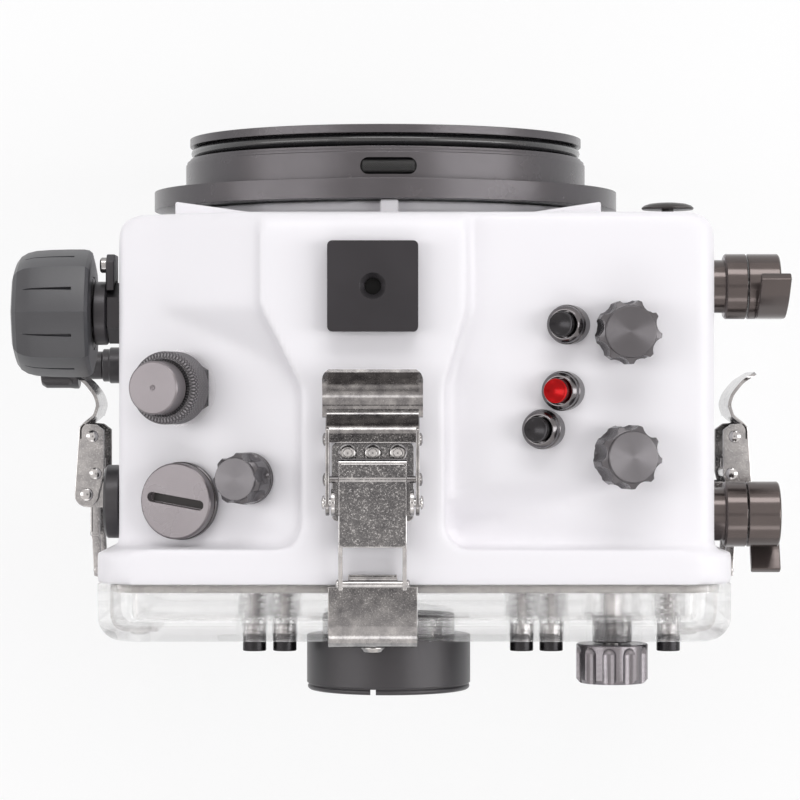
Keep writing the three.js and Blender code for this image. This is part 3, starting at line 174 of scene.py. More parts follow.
def added(operator, name, **settings):
    """Adds an object with nothing else selected."""
    bpy.ops.object.select_all(action="DESELECT")
    operator(**settings)
    bpy.context.object.name = name
    return bpy.context.object


camera = added(bpy.ops.object.camera_add, "camera", location=CAMERA_PLACE, rotation=(0, 0, 0))
camera.data.sensor_fit = "HORIZONTAL"
camera.data.angle = VIEW_ANGLE
camera.data.clip_end = 50
scene.camera = camera

plane_add = bpy.ops.mesh.primitive_plane_add
sweep = added(plane_add, "studio_sweep", size=SWEEP_SIZE, location=(0, 0, -SWEEP_DROP))
paper = Finish("studio paper")
rays = paper.node("ShaderNodeLightPath")
camera_ray, mirror_ray, clear_ray = (
    Signal(paper, rays.outputs[f"Is {kind} Ray"]) for kind in ("Camera", "Glossy", "Transmission")
)
seen = camera_ray.math("MAXIMUM", mirror_ray).math("MAXIMUM", clear_ray)
matte = paper.node("ShaderNodeBsdfDiffuse", None, Color=(0.86, 0.86, 0.86, 1))
glow = paper.node("ShaderNodeEmission", None, Color=(1, 1, 1, 1), Strength=1.0)
blend = paper.node("ShaderNodeMixShader", None, Fac=seen * SWEEP_GLOW)
paper.tree.links.new(matte.outputs[0], blend.inputs[1])
paper.tree.links.new(glow.outputs[0], blend.inputs[2])
paper.tree.links.new(blend.outputs[0], paper.output.inputs[0])
paper.wear(sweep)

world = bpy.data.worlds.new("studio air")
scene.world = world
world.use_nodes = True
air = world.node_tree
air.nodes.clear()
# The room is a plain soft fill, but in reflections the camera's own place overhead is dark.
sky = air.nodes.new("ShaderNodeBackground")
sky.inputs["Color"].default_value = (0.97, 0.96, 0.98, 1)
sky.inputs["Strength"].default_value = 0.54
ceiling = air.nodes.new("ShaderNodeBackground")
upward = air.nodes.new("ShaderNodeSeparateXYZ")
air.links.new(air.nodes.new("ShaderNodeTexCoord").outputs["Generated"], upward.inputs[0])
dimming = air.nodes.new("ShaderNodeValToRGB")
full, dark = dimming.color_ramp.elements
full.position, full.color = math.cos(math.radians(FULL_CEILING)), (1.25, 1.2, 1.17, 1)
dark.position, dark.color = math.cos(math.radians(DARK_CEILING)), (0.05, 0.048, 0.056, 1)
air.links.new(upward.outputs[2], dimming.inputs[0])
air.links.new(dimming.outputs[0], ceiling.inputs["Color"])
choice = air.nodes.new("ShaderNodeMixShader")
air.links.new(air.nodes.new("ShaderNodeLightPath").outputs["Is Glossy Ray"], choice.inputs[0])
air.links.new(sky.outputs[0], choice.inputs[1])
air.links.new(ceiling.outputs[0], choice.inputs[2])
air.links.new(choice.outputs[0], air.nodes.new("ShaderNodeOutputWorld").inputs[0])

# Softboxes: name, place, width and length in metres, watts
SOFTBOXES = (
    ("left", (-1.15, 0.1, 1.0), (0.5, 1.3), 6),
    ("right", (1.15, 0.0, 1.0), (0.5, 1.3), 9),
    ("front", (0.1, 1.25, 1.1), (1.2, 0.5), 8),
    ("rear", (0.0, -1.3, 1.3), (1.4, 0.4), 3),
)
for name, place, (width, length), watts in SOFTBOXES:
    lamp = added(bpy.ops.object.light_add, f"softbox_{name}", type="AREA", location=place)
    lamp.data.shape = "RECTANGLE"
    lamp.data.size = width
    lamp.data.size_y = length
    lamp.data.energy = watts
    lamp.rotation_euler = (Vector((0, 0, 0.1)) - Vector(place)).to_track_quat("-Z", "Y").to_euler()

# White shell: one gloss injection moulding in ABS-polycarbonate, open to the rear, with a raised
# spine for the accessory plate, two sunk control decks and a round neck for the port.
# The moulding's edges are all softly blended, so the shape is remeshed and relaxed as one skin.
SHELL_VOXEL = 1.6 * MM
SHELL_RELAX = 7
RIM_START = -46 * MM
RIM_SOFTNESS = 0.45
MERGE_DISTANCE = 0.002 * MM
SHELL_WHITE = (0.83, 0.815, 0.84, 1)
SHELL_SHADE = (0.79, 0.775, 0.8, 1)


def copied(node, name):
    """A merged copy of a solid's mesh, to be finished as a piece of its own."""
    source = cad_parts[node]
    piece = bpy.data.objects.new(name, source.data.copy())
    scene.collection.objects.link(piece)
    alone(piece)
    bpy.ops.object.mode_set(mode="EDIT")
    bpy.ops.mesh.select_all(action="SELECT")
    bpy.ops.mesh.remove_doubles(threshold=MERGE_DISTANCE)
    bpy.ops.object.mode_set(mode="OBJECT")
    return piece


def applied(piece, kind, **settings):
    """Adds a modifier with its settings and applies it."""
    alone(piece)
    modifier = piece.modifiers.new(kind.lower(), kind)
    for key, value in settings.items():
        setattr(modifier, key, value)
    bpy.ops.object.modifier_apply(modifier=modifier.name)
    return piece


def smooth(piece, degrees=35):
    alone(piece)
    bpy.ops.object.shade_smooth_by_angle(angle=math.radians(degrees))
    return piece


shell = copied("front_housing", "white_shell")
applied(shell, "REMESH", mode="VOXEL", voxel_size=SHELL_VOXEL)
soft_zone = shell.vertex_groups.new(name="soft_zone")
soft_vertices = [v.index for v in shell.data.vertices if v.co.y > RIM_START]
soft_zone.add(soft_vertices, 1.0, "REPLACE")
rim_vertices = [v.index for v in shell.data.vertices if v.co.y <= RIM_START]
soft_zone.add(rim_vertices, RIM_SOFTNESS, "REPLACE")
applied(shell, "SMOOTH", factor=0.5, iterations=SHELL_RELAX, vertex_group="soft_zone")
smooth(shell, 60)

gloss = Finish("white gloss moulding")
spot = gloss.place()
flow = gloss.noise(spot, 14, 3)
peel = gloss.noise(spot, 900, 2)
gloss.surface(
    Base_Color=gloss.mix(flow, SHELL_WHITE, SHELL_SHADE),
    Roughness=0.4 + 0.06 * gloss.noise(spot, 60, 2),
    Specular_IOR_Level=0.3,
    Coat_Weight=0.06 + 0.06 * flow,
    Coat_Roughness=0.25,
    Normal=gloss.bump(peel, 0.02 * MM, 0.25),
)
gloss.wear(shell)
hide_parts("front_housing")
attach(shell, "root")

# Port mount: a flange, slotted collar and grooved lip turned from one ring of black anodised
# aluminium and bolted to the neck. The lens port's barrel slides over the lip and seals on the
# O-ring. A knurled roller in the collar's slot locks it.
TURNING_STEPS = 160
PORT_BLACK = (0.075, 0.07, 0.075, 1)
SEAL_BLACK = (0.012, 0.012, 0.013, 1)
ROLLER_BLACK = (0.03, 0.03, 0.03, 1)
# Knurl colour factors: painted shade in the grooves and painted highlight on the diamonds' tops.
KNURL_GROOVE_SHADE, KNURL_TOP_HIGHLIGHT = 0.35, 2.2


def station(x, y, z, rx=0.0, ry=0.0):
    """A control's own seat in the housing's frame: place in millimetres and turns in degrees."""
    turn = Euler((math.radians(rx), math.radians(ry), 0)).to_matrix().to_4x4()
    return Matrix.Translation((x * MM, y * MM, z * MM)) @ turn


def turned(name, profile, steps, soft):
    """A lathe-turned piece about Z, spun from a closed outline of radii and heights in mm."""
    circle_add = bpy.ops.mesh.primitive_circle_add
    piece = added(circle_add, name, vertices=len(profile), radius=MM, fill_type="NOTHING")
    for vertex, (radius, height) in zip(piece.data.vertices, profile):
        vertex.co = (radius * MM, 0, height * MM)
    bpy.ops.object.mode_set(mode="EDIT")
    bpy.ops.mesh.select_all(action="SELECT")
    bpy.ops.mesh.spin(steps=steps, angle=2 * math.pi, center=(0, 0, 0), axis=(0, 0, 1))
    bpy.ops.mesh.select_all(action="SELECT")
    bpy.ops.mesh.remove_doubles(threshold=MERGE_DISTANCE)
    bpy.ops.mesh.delete_loose(use_verts=True, use_edges=True, use_faces=False)
    bpy.ops.mesh.select_all(action="SELECT")
    bpy.ops.mesh.normals_make_consistent(inside=False)
    bpy.ops.object.mode_set(mode="OBJECT")
    if soft:
        soften(piece, soft)
    return smooth(piece)


def rod(radius, low, high, steps=48):
    """A plain round bar about Z, which mostly serves as a drill."""
    return turned("rod", [(0, low), (radius, low), (radius, high), (0, high)], steps, 0)


def soften(piece, width, segments=2, degrees=30):
    """Breaks a piece's sharp edges by a width in millimetres."""
    return applied(
        piece,
        "BEVEL",
        width=width * MM,
        segments=segments,
        limit_method="ANGLE",
        angle_limit=math.radians(degrees),
        use_clamp_overlap=True,
    )


def cut(piece, *tools):
    """Takes tools out of a piece, and removes the tools."""
    for tool in tools:
        applied(piece, "BOOLEAN", operation="DIFFERENCE", solver="EXACT", object=tool)
        bpy.data.objects.remove(tool)
    return piece


def block(low, high, name="block"):
    """A box between two corners in millimetres."""
    piece = added(bpy.ops.mesh.primitive_cube_add, name, size=1)
    size = Vector(high) - Vector(low)
    middle = (Vector(high) + Vector(low)) / 2
    piece.data.transform(Matrix.Translation(middle * MM) @ Matrix.Diagonal((*(size * MM), 1)))
    return piece


def seated(piece, matrix):
    """Moves a piece's mesh from its own seat into the housing's frame."""
    piece.data.transform(matrix)
    piece.data.update()
    return piece


def made_of(piece, finish, slot, body, *nodes):
    """Gives a piece its finish and the body that it moves with; its slot is not used."""
    applied(piece, "WEIGHTED_NORMAL", keep_sharp=True)
    finish.wear(piece)
    if nodes:
        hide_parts(*nodes)
    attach(piece, body)
    return piece


def lathed(name, profile, steps, soft, seat, finish, slot, body, *nodes):
    """A piece that is turned, seated and finished with nothing done to it in between."""
    piece = seated(turned(name, profile, steps, soft), seat)
    return made_of(piece, finish, slot, body, *nodes)


def shade(colour, factor):
    """The same colour, lighter or darker."""
    return (*(min(1, c * factor) for c in colour[:3]), 1)


def anodised(name, matrix, colour, roughness, pitch=0.22, groove=0.012, metallic=0.4):
    """Anodised aluminium fresh from the lathe: fine rings about the piece's own axis."""
    finish = Finish(name)
    spot = finish.place(matrix)
    x, y, z = (spot.part(letter) for letter in "XYZ")
    radius = (x * x + y * y) ** 0.5
    drift = finish.noise(spot, 300, 2) * (0.06 * MM)
    rings = ((radius + drift) * (2 * math.pi / (pitch * MM))).math("SINE")
    steps = (z * (2 * math.pi / (pitch * 1.3 * MM))).math("SINE")
    patch = finish.noise(spot, 90, 3)
    return finish.surface(
        Base_Color=finish.mix(patch, colour, shade(colour, 1.35)),
        Metallic=metallic,
        Roughness=roughness + 0.1 * (patch - 0.5),
        Normal=finish.bump(rings + steps, groove * MM, 0.6),
    )


PORT_SEAT = station(0, 66, 86, -90)
port_ring = turned(
    "port_mount_ring",
    [
        (57, 0), (81, 0), (81, 6.6), (70, 6.6), (70, 16), (69.6, 16), (69.6, 17), (68.6, 17),
        (68.6, 18), (65.2, 18), (65.2, 22.4), (68.6, 22.4), (68.6, 25.2), (57, 25.2), (57, 20),
        (58.2, 19.4), (58.2, 8.6), (57, 8),
    ],
    TURNING_STEPS, 0.35,
)
slot_tool = block((-8, -80, 8.5), (10.6, -65, 14.1))
soften(slot_tool, 2.6, 6)
cut(port_ring, slot_tool)
smooth(port_ring)
seated(port_ring, PORT_SEAT)
ring_finish = anodised("port ring anodising", PORT_SEAT, PORT_BLACK, 0.26, metallic=0.6)
made_of(port_ring, ring_finish, "black_aluminium", "root", "port_ring")


def greased_rubber(name, colour):
    """Moulded nitrile with a film of silicone grease."""
    finish = Finish(name)
    spot = finish.place()
    smear = finish.noise(spot, 240, 3)
    return finish.surface(
        Base_Color=finish.mix(smear, colour, shade(colour, 1.5)),
        Roughness=0.2 + 0.15 * smear,
        Coat_Weight=0.3 + 0.3 * smear,
        Coat_Roughness=0.1,
        Normal=finish.bump(smear, 0.02 * MM, 0.3),
    )


section = [math.radians(22.5 * i) for i in range(16)]
lathed(
    "port_o_ring",
    [(65.3 + 2.9 * math.cos(a), 20.2 + 2.05 * math.sin(a)) for a in section],
    TURNING_STEPS, 0, PORT_SEAT, greased_rubber("greased o-ring", SEAL_BLACK),
    "seal_rubber", "root", "port_seal",
)


def knurled(name, matrix, colour, radius, pitch, depth):
    """Anodised aluminium with a rolled knurl: two crossing sets of helical grooves, coloured darker
    in the grooves as painted shade and lighter on the diamonds' tops as painted highlight.
    """
    finish = Finish(name)
    spot = finish.place(matrix)
    turn = spot.part("Y").math("ARCTAN2", spot.part("X"))
    count = round(math.pi * radius / pitch)
    lean = spot.part("Z") * (math.pi / (pitch * MM))
    first = (turn * count + lean).math("SINE").math("ABSOLUTE")
    second = (turn * count - lean).math("SINE").math("ABSOLUTE")
    diamonds = first.math("MINIMUM", second)
    # The groove colour is painted shade and the top colour is painted highlight.
    dark, bright = shade(colour, KNURL_GROOVE_SHADE), shade(colour, KNURL_TOP_HIGHLIGHT)
    return finish.surface(
        Base_Color=finish.mix((diamonds * 1.3).clamped(), dark, bright),
        Metallic=0.5,
        Roughness=0.42 + 0.1 * finish.noise(spot, 200, 2),
        Normal=finish.bump(diamonds, depth * MM, 1.0),
    )


ROLLER_SEAT = PORT_SEAT @ station(1.3, -67.6, 11.3, 0, 90)
lathed(
    "port_lock_roller",
    [(0, -9), (1.7, -9), (2.3, -8.4), (2.3, 8.4), (1.7, 9), (0, 9)],
    48, 0.2, ROLLER_SEAT, knurled("knurled roller", ROLLER_SEAT, ROLLER_BLACK, 2.3, 0.8, 0.2),
    "black_aluminium", "root", "port_lock_roller",
)

# Clear back: a deep polycarbonate lid, cast clear and flame-polished, that seals on an O-ring in
# its front face. Its rear wall is bored for each control's shaft, with a clear cage round each
# button's spring and a clear boss behind the rear knob.
COVER_SEAT_Y = -59.5
COVER_BACK_Y = -78
COVER_INSIDE_Y = -71.5
REAR_CONTROL_Z = 150
BUTTON_XS = (-43.1, -33.1, 45.4, 55.2, 94)
BUTTON_SEATS = [station(x, COVER_BACK_Y, REAR_CONTROL_Z, 90) for x in BUTTON_XS]
BUTTON_BORE = 4.3
REAR_KNOB_SEAT = station(75.4, COVER_BACK_Y, REAR_CONTROL_Z, 90)
BUSHING_BORE = 6.7
EYEPIECE_SEAT = station(1.3, COVER_BACK_Y, 140, 90)
EYEPIECE_BORE = 22.3
SAME_PLACE = 0.01


def bevelled_edges(piece, width, segments, chosen):
    """Rounds the edges that a test on their two ends picks out."""
    alone(piece)
    bpy.ops.object.mode_set(mode="EDIT")
    bpy.ops.mesh.select_mode(type="EDGE")
    bpy.ops.mesh.select_all(action="DESELECT")
    bpy.ops.object.mode_set(mode="OBJECT")
    for edge in piece.data.edges:
        ends = [piece.data.vertices[i].co / MM for i in edge.vertices]
        edge.select = chosen(*ends)
    bpy.ops.object.mode_set(mode="EDIT")
    bpy.ops.mesh.bevel(offset=width * MM, segments=segments, affect="EDGES", clamp_overlap=True)
    bpy.ops.object.mode_set(mode="OBJECT")
    return piece


def along(axis):
    """Picks the edges that run along one axis."""
    return lambda a, b: all((abs(a[i] - b[i]) > SAME_PLACE) == (i == axis) for i in range(3))


def at(axis, level):
    """Picks the edges that lie at one level of an axis."""
    return lambda a, b: all(abs(end[axis] - level) < SAME_PLACE for end in (a, b))


def polished_clear(name, tint, alpha, roughness=0.02):
    """Cast polycarbonate or glass, polished, with faint rub marks."""
    finish = Finish(name)
    spot = finish.place()
    rub = finish.noise(spot, 700, 3, 0.7)
    return finish.surface(
        Base_Color=finish.mix(finish.noise(spot, 30, 2), tint, shade(tint, 0.97)),
        Roughness=roughness + 0.05 * (rub ** 3),
        IOR=1.5,
        Transmission_Weight=1.0,
        Alpha=alpha,
        Normal=finish.bump(rub, 0.003 * MM, 0.4),
    )


def slab(low, high, corner, segments, axis, name="slab"):
    """A box whose edges along one axis are rounded."""
    return bevelled_edges(block(low, high, name), corner, segments, along(axis))


clear_finish = polished_clear("clear polycarbonate", (0.97, 0.965, 0.965, 1), 0.38)
cover = slab((-93, COVER_BACK_Y, 2.5), (112.5, COVER_SEAT_Y, 186), 14, 12, 1, "clear_back")
bevelled_edges(cover, 8, 8, at(1, COVER_BACK_Y))
hollow = slab((-82, COVER_INSIDE_Y, 13.5), (101.5, -55, 175), 5, 6, 1)
bevelled_edges(hollow, 2, 3, at(1, COVER_INSIDE_Y))
seal_path = slab((-89, -62.4, 6.5), (108.5, -55, 182), 10, 8, 1)
cut(seal_path, slab((-85.6, -63, 9.9), (105.1, -54, 178.6), 6.6, 8, 1))
bores = [(seat, BUTTON_BORE) for seat in BUTTON_SEATS]
bores += [(REAR_KNOB_SEAT, BUSHING_BORE), (EYEPIECE_SEAT, EYEPIECE_BORE)]
cut(cover, hollow, seal_path, *[seated(rod(radius, -12, 4, 64), seat) for seat, radius in bores])
smooth(soften(cover, 0.5, 2, 40), 30)
made_of(cover, clear_finish, "clear_cover", "back", "back_cover")

for number, seat in enumerate(BUTTON_SEATS, 1):
    lathed(
        f"spring_cage_{number}",
        [(4.3, -18), (5.2, -18), (5.6, -17.5), (5.6, -7.2), (6.2, -6.6), (4.3, -6.6)],
        48, 0.15, seat, clear_finish, "clear_cover", "back",
    )
lathed(
    "rear_knob_boss",
    [(3.4, -18), (9, -18), (9.3, -17.6), (9.3, -7.2), (9.8, -6.6), (3.4, -6.6)],
    72, 0.15, REAR_KNOB_SEAT, clear_finish, "clear_cover", "back",
)

back_seal = slab((-88.7, -62.1, 6.8), (108.2, -59.5, 181.7), 9.8, 8, 1, "back_o_ring")
cut(back_seal, slab((-85.9, -64, 9.6), (105.4, -57, 178.9), 7, 8, 1))
smooth(soften(back_seal, 1.1, 4, 40))
silicone = greased_rubber("silicone seal", (0.3, 0.29, 0.28, 1))
made_of(back_seal, silicone, "seal_rubber", "back", "back_seal")

# Eyepiece: a black anodised tube pressed into the clear back, with a coated window let into its
# end. The rear knob's bushing, turned from the same bar, is pressed into the wall beside it.
CONTROL_BLACK = (0.038, 0.036, 0.039, 1)
COATED_TINT = (0.86, 0.9, 0.95, 1)
eyepiece = turned(
    "eyepiece_barrel",
    [
        (19, -6.5), (22, -6.5), (22, 0.3), (27.3, 0.3), (27.3, 16.2), (26.6, 16.2), (26.6, 16.8),
        (27, 17), (27, 17.8), (26.4, 18.4), (21.5, 18.4), (21.5, 10.1), (19, 10.1),
    ],
    TURNING_STEPS, 0.3,
)
cut(eyepiece, block((-5.9, 20, 16.6), (-4.1, 29, 20)))
smooth(eyepiece)
seated(eyepiece, EYEPIECE_SEAT)
tube_finish = anodised("eyepiece anodising", EYEPIECE_SEAT, CONTROL_BLACK, 0.38)
made_of(eyepiece, tube_finish, "black_aluminium", "back", "eyepiece_tube")
lathed(
    "eyepiece_window",
    [(0, 10.4), (21.2, 10.4), (21.2, 13.2), (20.6, 13.4), (0, 13.4)],
    96, 0.1, EYEPIECE_SEAT, polished_clear("coated window", COATED_TINT, 0.8),
    "clear_glass", "back", "eyepiece_glass",
)
lathed(
    "rear_knob_bushing",
    [(3.3, -6.3), (6.3, -6.3), (6.5, -6.1), (6.5, 1.9), (6.2, 2.2), (3.3, 2.2)],
    64, 0, REAR_KNOB_SEAT, anodised("bushing anodising", REAR_KNOB_SEAT, CONTROL_BLACK, 0.3),
    "black_aluminium", "back",
)

# Accessory plate and base plate: black anodised plates screwed to the shell; the upper one is
# countersunk for a quarter-inch screw and takes a light's ball mount.
ACCESSORY_SEAT = station(-3.6, 36.3, 186.3)
accessory = slab((-14.5, -14.5, 0), (14.5, 14.5, 6), 1.6, 5, 2, "accessory_plate_body")
countersink = [(0, -2), (2.7, -2), (2.7, 4.4), (4.3, 6.01), (4.3, 8), (0, 8)]
cut(accessory, turned("countersink", countersink, 64, 0))
smooth(soften(accessory, 0.45, 3))
seated(accessory, ACCESSORY_SEAT)
# A threaded insert at the hole's bottom, coloured near black as painted shade in the hole.
insert = seated(rod(2.65, 0.05, 0.9), ACCESSORY_SEAT)
insert.name = "accessory_insert_painted_shade"


def blasted(name, colour, roughness=0.42, grain=0.03):
    """Bead-blasted and anodised aluminium."""
    finish = Finish(name)
    spot = finish.place()
    fine = finish.noise(spot, 2600, 2)
    broad = finish.noise(spot, 45, 3)
    return finish.surface(
        Base_Color=finish.mix(broad, colour, shade(colour, 1.5)),
        Metallic=0.6,
        Roughness=roughness + 0.12 * (broad - 0.5),
        Normal=finish.bump(fine, grain * MM, 0.5),
    )


plate_finish = blasted("plate anodising", (0.028, 0.026, 0.029, 1), 0.34, 0.015)
made_of(accessory, plate_finish, "black_aluminium", "root", "accessory_plate")
made_of(insert, blasted("insert painted shade", (0.004, 0.004, 0.004, 1), 0.6), "black_aluminium", "root")

base = slab((-59, -46, 0), (59, 46, 5.7), 8, 10, 2, "base_plate_body")
cut(base, *[seated(rod(3.2, -2, 8), station(x, 0, 0)) for x in (-25, 25)])
smooth(soften(base, 0.6, 3))
base_finish = blasted("base anodising", (0.03, 0.03, 0.032, 1), 0.45)
made_of(base, base_finish, "black_aluminium", "root", "base_plate")

# Draw latches: pressed and polished stainless steel. Each has a footed bracket with two ears, an
# over-centre lever, a draw link with its hook rod, and a keeper screwed round the lid's edge.
# Places are (forward, up) from the latch's own seat.
LEVER_PIVOT = (0, 9.5)
LINK_PIVOT = (7.2, 6.5)
LATCHES = (
    ("top", station(-3.6, -32.5, 186), 0.3),
    ("left", station(-93, -32.5, 98, 0, -90), -5.2),
    ("right", station(112.5, -32.5, 98, 0, 90), -5.2),
)


def sheet_metal(name, outline, low, high, soft):
    """A flat pressing: an outline of (forward, up) points in millimetres, thick along X."""
    circle_add = bpy.ops.mesh.primitive_circle_add
    piece = added(circle_add, name, vertices=len(outline), radius=MM, fill_type="NGON")
    for vertex, (forward, up) in zip(piece.data.vertices, outline):
        vertex.co = (low * MM, forward * MM, up * MM)
    bpy.ops.object.mode_set(mode="EDIT")
    bpy.ops.mesh.select_all(action="SELECT")
    bpy.ops.mesh.extrude_region_move(TRANSFORM_OT_translate={"value": ((high - low) * MM, 0, 0)})
    bpy.ops.mesh.select_all(action="SELECT")
    bpy.ops.mesh.normals_make_consistent(inside=False)
    bpy.ops.object.mode_set(mode="OBJECT")
    if soft:
        soften(piece, soft)
    return smooth(piece)


def bent(line, thickness, rounding=5):
    """The outline of a bent strip: its centre line in (forward, up), thickened and closed."""
    points = [Vector(p) for p in line]
    fine = []
    for i, point in enumerate(points):
        if 0 < i < len(points) - 1:
            before = point + (points[i - 1] - point) * 0.35
            after = point + (points[i + 1] - point) * 0.35
            for k in range(rounding + 1):
                t = k / rounding
                fine.append(before * (1 - t) ** 2 + point * 2 * t * (1 - t) + after * t * t)
        else:
            fine.append(point)
    sides = []
    for i, point in enumerate(fine):
        ahead = (fine[min(i + 1, len(fine) - 1)] - fine[max(i - 1, 0)]).normalized()
        sides.append(Vector((-ahead.y, ahead.x)) * thickness / 2)
    upper = [p + s for p, s in zip(fine, sides)]
    lower = [p - s for p, s in zip(fine, sides)]
    return [tuple(p) for p in upper + lower[::-1]]


def arc(forward, up, radius, start, end, steps=10):
    """Points along an arc, in degrees from forward towards up."""
    turns = [math.radians(start + (end - start) * i / steps) for i in range(steps + 1)]
    return [(forward + radius * math.cos(a), up + radius * math.sin(a)) for a in turns]


def cross_rod(profile, place, steps=32):
    """A turned pin across a latch, its profile along X."""
    return seated(turned("cross rod", profile, steps, 0.12), station(0, *place, 0, 90))


def fused(name, *pieces):
    """Joins meshes into one piece."""
    bpy.ops.object.select_all(action="DESELECT")
    for piece in pieces:
        piece.select_set(True)
    bpy.context.view_layer.objects.active = pieces[0]
    bpy.ops.object.join()
    joined = bpy.context.object
    joined.name = name
    return joined


def cheeks(outline, near, far, soft=0.22):
    """The same pressing on both sides of a latch."""
    spans = ((-far, -near), (near, far))
    return [sheet_metal("cheek", outline, low, high, soft) for low, high in spans]


def pin_heads(profile, place):
    """The same pin end on both sides of a latch."""
    return [cross_rod([(r, side * x) for r, x in profile], place) for side in (-1, 1)]


def polished_steel(name, matrix, dark=0.0):
    """Tumbled and polished stainless steel: mirror-like, with fine pits and random scratches."""
    finish = Finish(name)
    spot = finish.place(matrix)
    pits = finish.noise(spot, 1500, 4, 0.75)
    cloud = finish.noise(spot, 220, 4, 0.6)
    flecks = ((finish.noise(spot, 1900, 3, 0.8) - 0.56) * 7.0).clamped()
    # dark lowers both colours: a darker steel for shafts, springs and screws, and painted shade on
    # the top latch's lever and keeper.
    light = (0.6 - dark, 0.588 - dark, 0.58 - dark, 1)
    deep = (0.27 - dark, 0.266 - dark, 0.272 - dark, 1)
    return finish.surface(
        Base_Color=finish.mix((cloud * 1.6 - 0.35).clamped(), deep, light),
        Metallic=1.0,
        Roughness=0.08 + 0.2 * (pits ** 2) + 0.25 * flecks,
        Normal=finish.bump(pits + flecks, 0.01 * MM, 0.6),
    )


def latch_bracket(foot):
    """A sole held by three screws, and two ears with the lever's pivot pins."""
    sole = smooth(soften(slab((-13.1, -6.4, foot), (13.1, 19, foot + 1.5), 2, 4, 2), 0.25))
    ear = [(-4.4, foot + 0.4), *arc(*LEVER_PIVOT, 4.4, 180, 0), (4.4, foot + 0.4)][::-1]
    pins = pin_heads(
        [(0, 12.4), (1.4, 12.4), (1.4, 15.3), (2.3, 15.3), (2.1, 15.9), (1.2, 16.2), (0, 16.2)],
        LEVER_PIVOT,
    )
    head = [(0, 0.9), (3, 0.9), (3, 2.1), (2.4, 2.8), (1.3, 3), (1.3, 1.8), (0, 1.8)]
    screws = [seated(turned("screw", head, 32, 0.1), station(x, 15.6, foot)) for x in (-8, 0, 8)]
    return fused("latch_bracket", sole, *cheeks(ear, 11.9, 13.1), *pins, *screws)


def latch_lever():
    """A sheet bent down to a wider finger tab, between two flanges riveted to it."""
    line = [
        (18.9, 11.5), (23.4, 11.5), (27.1, 6.7), (30.8, 5.5), (34.4, 6.6), (38.8, 10.1),
        (41.7, 14.7),
    ]
    sheet = sheet_metal("sheet", bent(line[:4], 1.1), -14.9, 14.9, 0)
    tab = sheet_metal("tab", bent(line[2:], 1.1), -16, 16, 0)
    for side in (-1, 1):
        corner = block((side * 16 - 3, 39.2, 0), (side * 16 + 3, 46, 22))
        cut(tab, cut(corner, seated(rod(4, -2, 24, 40), station(side * 12, 38.6, 0))))
    flange = [
        *arc(*LEVER_PIVOT, 4.2, 90, 270), (7.2, 3.5), (22.2, 3.5), (24.2, 6.2), (24.6, 10.6),
        (23.2, 12.1),
    ]
    flanges = cheeks(flange, 13.7, 14.9, 0.3)
    rivet = [(0, 13.8), (1.3, 13.8), (1.3, 14.9), (2.2, 14.95), (2, 15.5), (1.1, 15.9), (0, 15.9)]
    rivets = pin_heads(rivet, (20, 7.6)) + pin_heads(rivet, LINK_PIVOT)
    pin = cross_rod([(0, -13.8), (1.1, -13.8), (1.1, 13.8), (0, 13.8)], LINK_PIVOT)
    smooth(soften(sheet, 0.3))
    smooth(soften(tab, 0.35, 3))
    return fused("latch_lever", sheet, tab, *flanges, pin, *rivets)


def latch_link():
    """A draw plate rolled round the lever's pin, with the hook rod held at its far end."""
    plate = smooth(soften(slab((-10.9, -14.4, 7.5), (10.9, 12.3, 8.7), 1.5, 4, 2), 0.35, 3))
    curl = [*arc(12.1, 6.9, 1.8, 90, -60, 12), *arc(12.1, 6.9, 0.7, -60, 90, 12)]
    roll = sheet_metal("roll", curl, -10.9, 10.9, 0.15)
    arm = [(-14.2, 8.4), (-14.2, 5.2), (-28.2, 4.4), (-28.6, 5.6), (-28, 7.4), (-16, 8.0)][::-1]
    wing = [(-14.3, 5.4), (-14.3, 8.3), (12.2, 8.3), (12.2, 5.2)]
    sides = cheeks(arm, 9.5, 10.9) + cheeks(wing, 9.7, 10.9)
    barrel = cross_rod([(1.5, -10.7), (2.3, -10.7), (2.3, 10.7), (1.5, 10.7)], LINK_PIVOT, 40)
    half = [(0, 11.8), (1.0, 11.8), (1.5, 11.4), (1.5, 10.95), (1.2, 10.9)]
    hook_rod = cross_rod([(r, -x) for r, x in half] + half[::-1], (-26.1, 6.0))
    return fused("latch_link", plate, roll, *sides, barrel, hook_rod)


def latch_keeper():
    """A strip wrapped over the lid's edge, with a tongue for the hook rod and one screw."""
    over_edge = bent([(-46.45, -15), (-46.45, 0.95), (-27.2, 0.95)], 1.3)
    upturned = bent([(-28.4, 0.95), (-23.75, 0.95), (-23.75, 5.6)], 1.2)
    wrap = sheet_metal("wrap", over_edge, -14.3, 14.3, 0.25)
    tongue = sheet_metal("tongue", upturned, -7.8, 7.8, 0.2)
    dome = [(0, 0), (3.9, 0), (3.9, 0.5), (3.1, 1.6), (1.4, 2.1), (0, 2.1)]
    head = turned("head", dome, 48, 0.15)
    cut(head, block((-2.2, -0.4, 1.2), (2.2, 0.4, 3)), block((-0.4, -2.2, 1.2), (0.4, 2.2, 3)))
    seated(head, station(0, -47.1, -7.5, 90))
    return fused("latch_keeper", wrap, tongue, head)


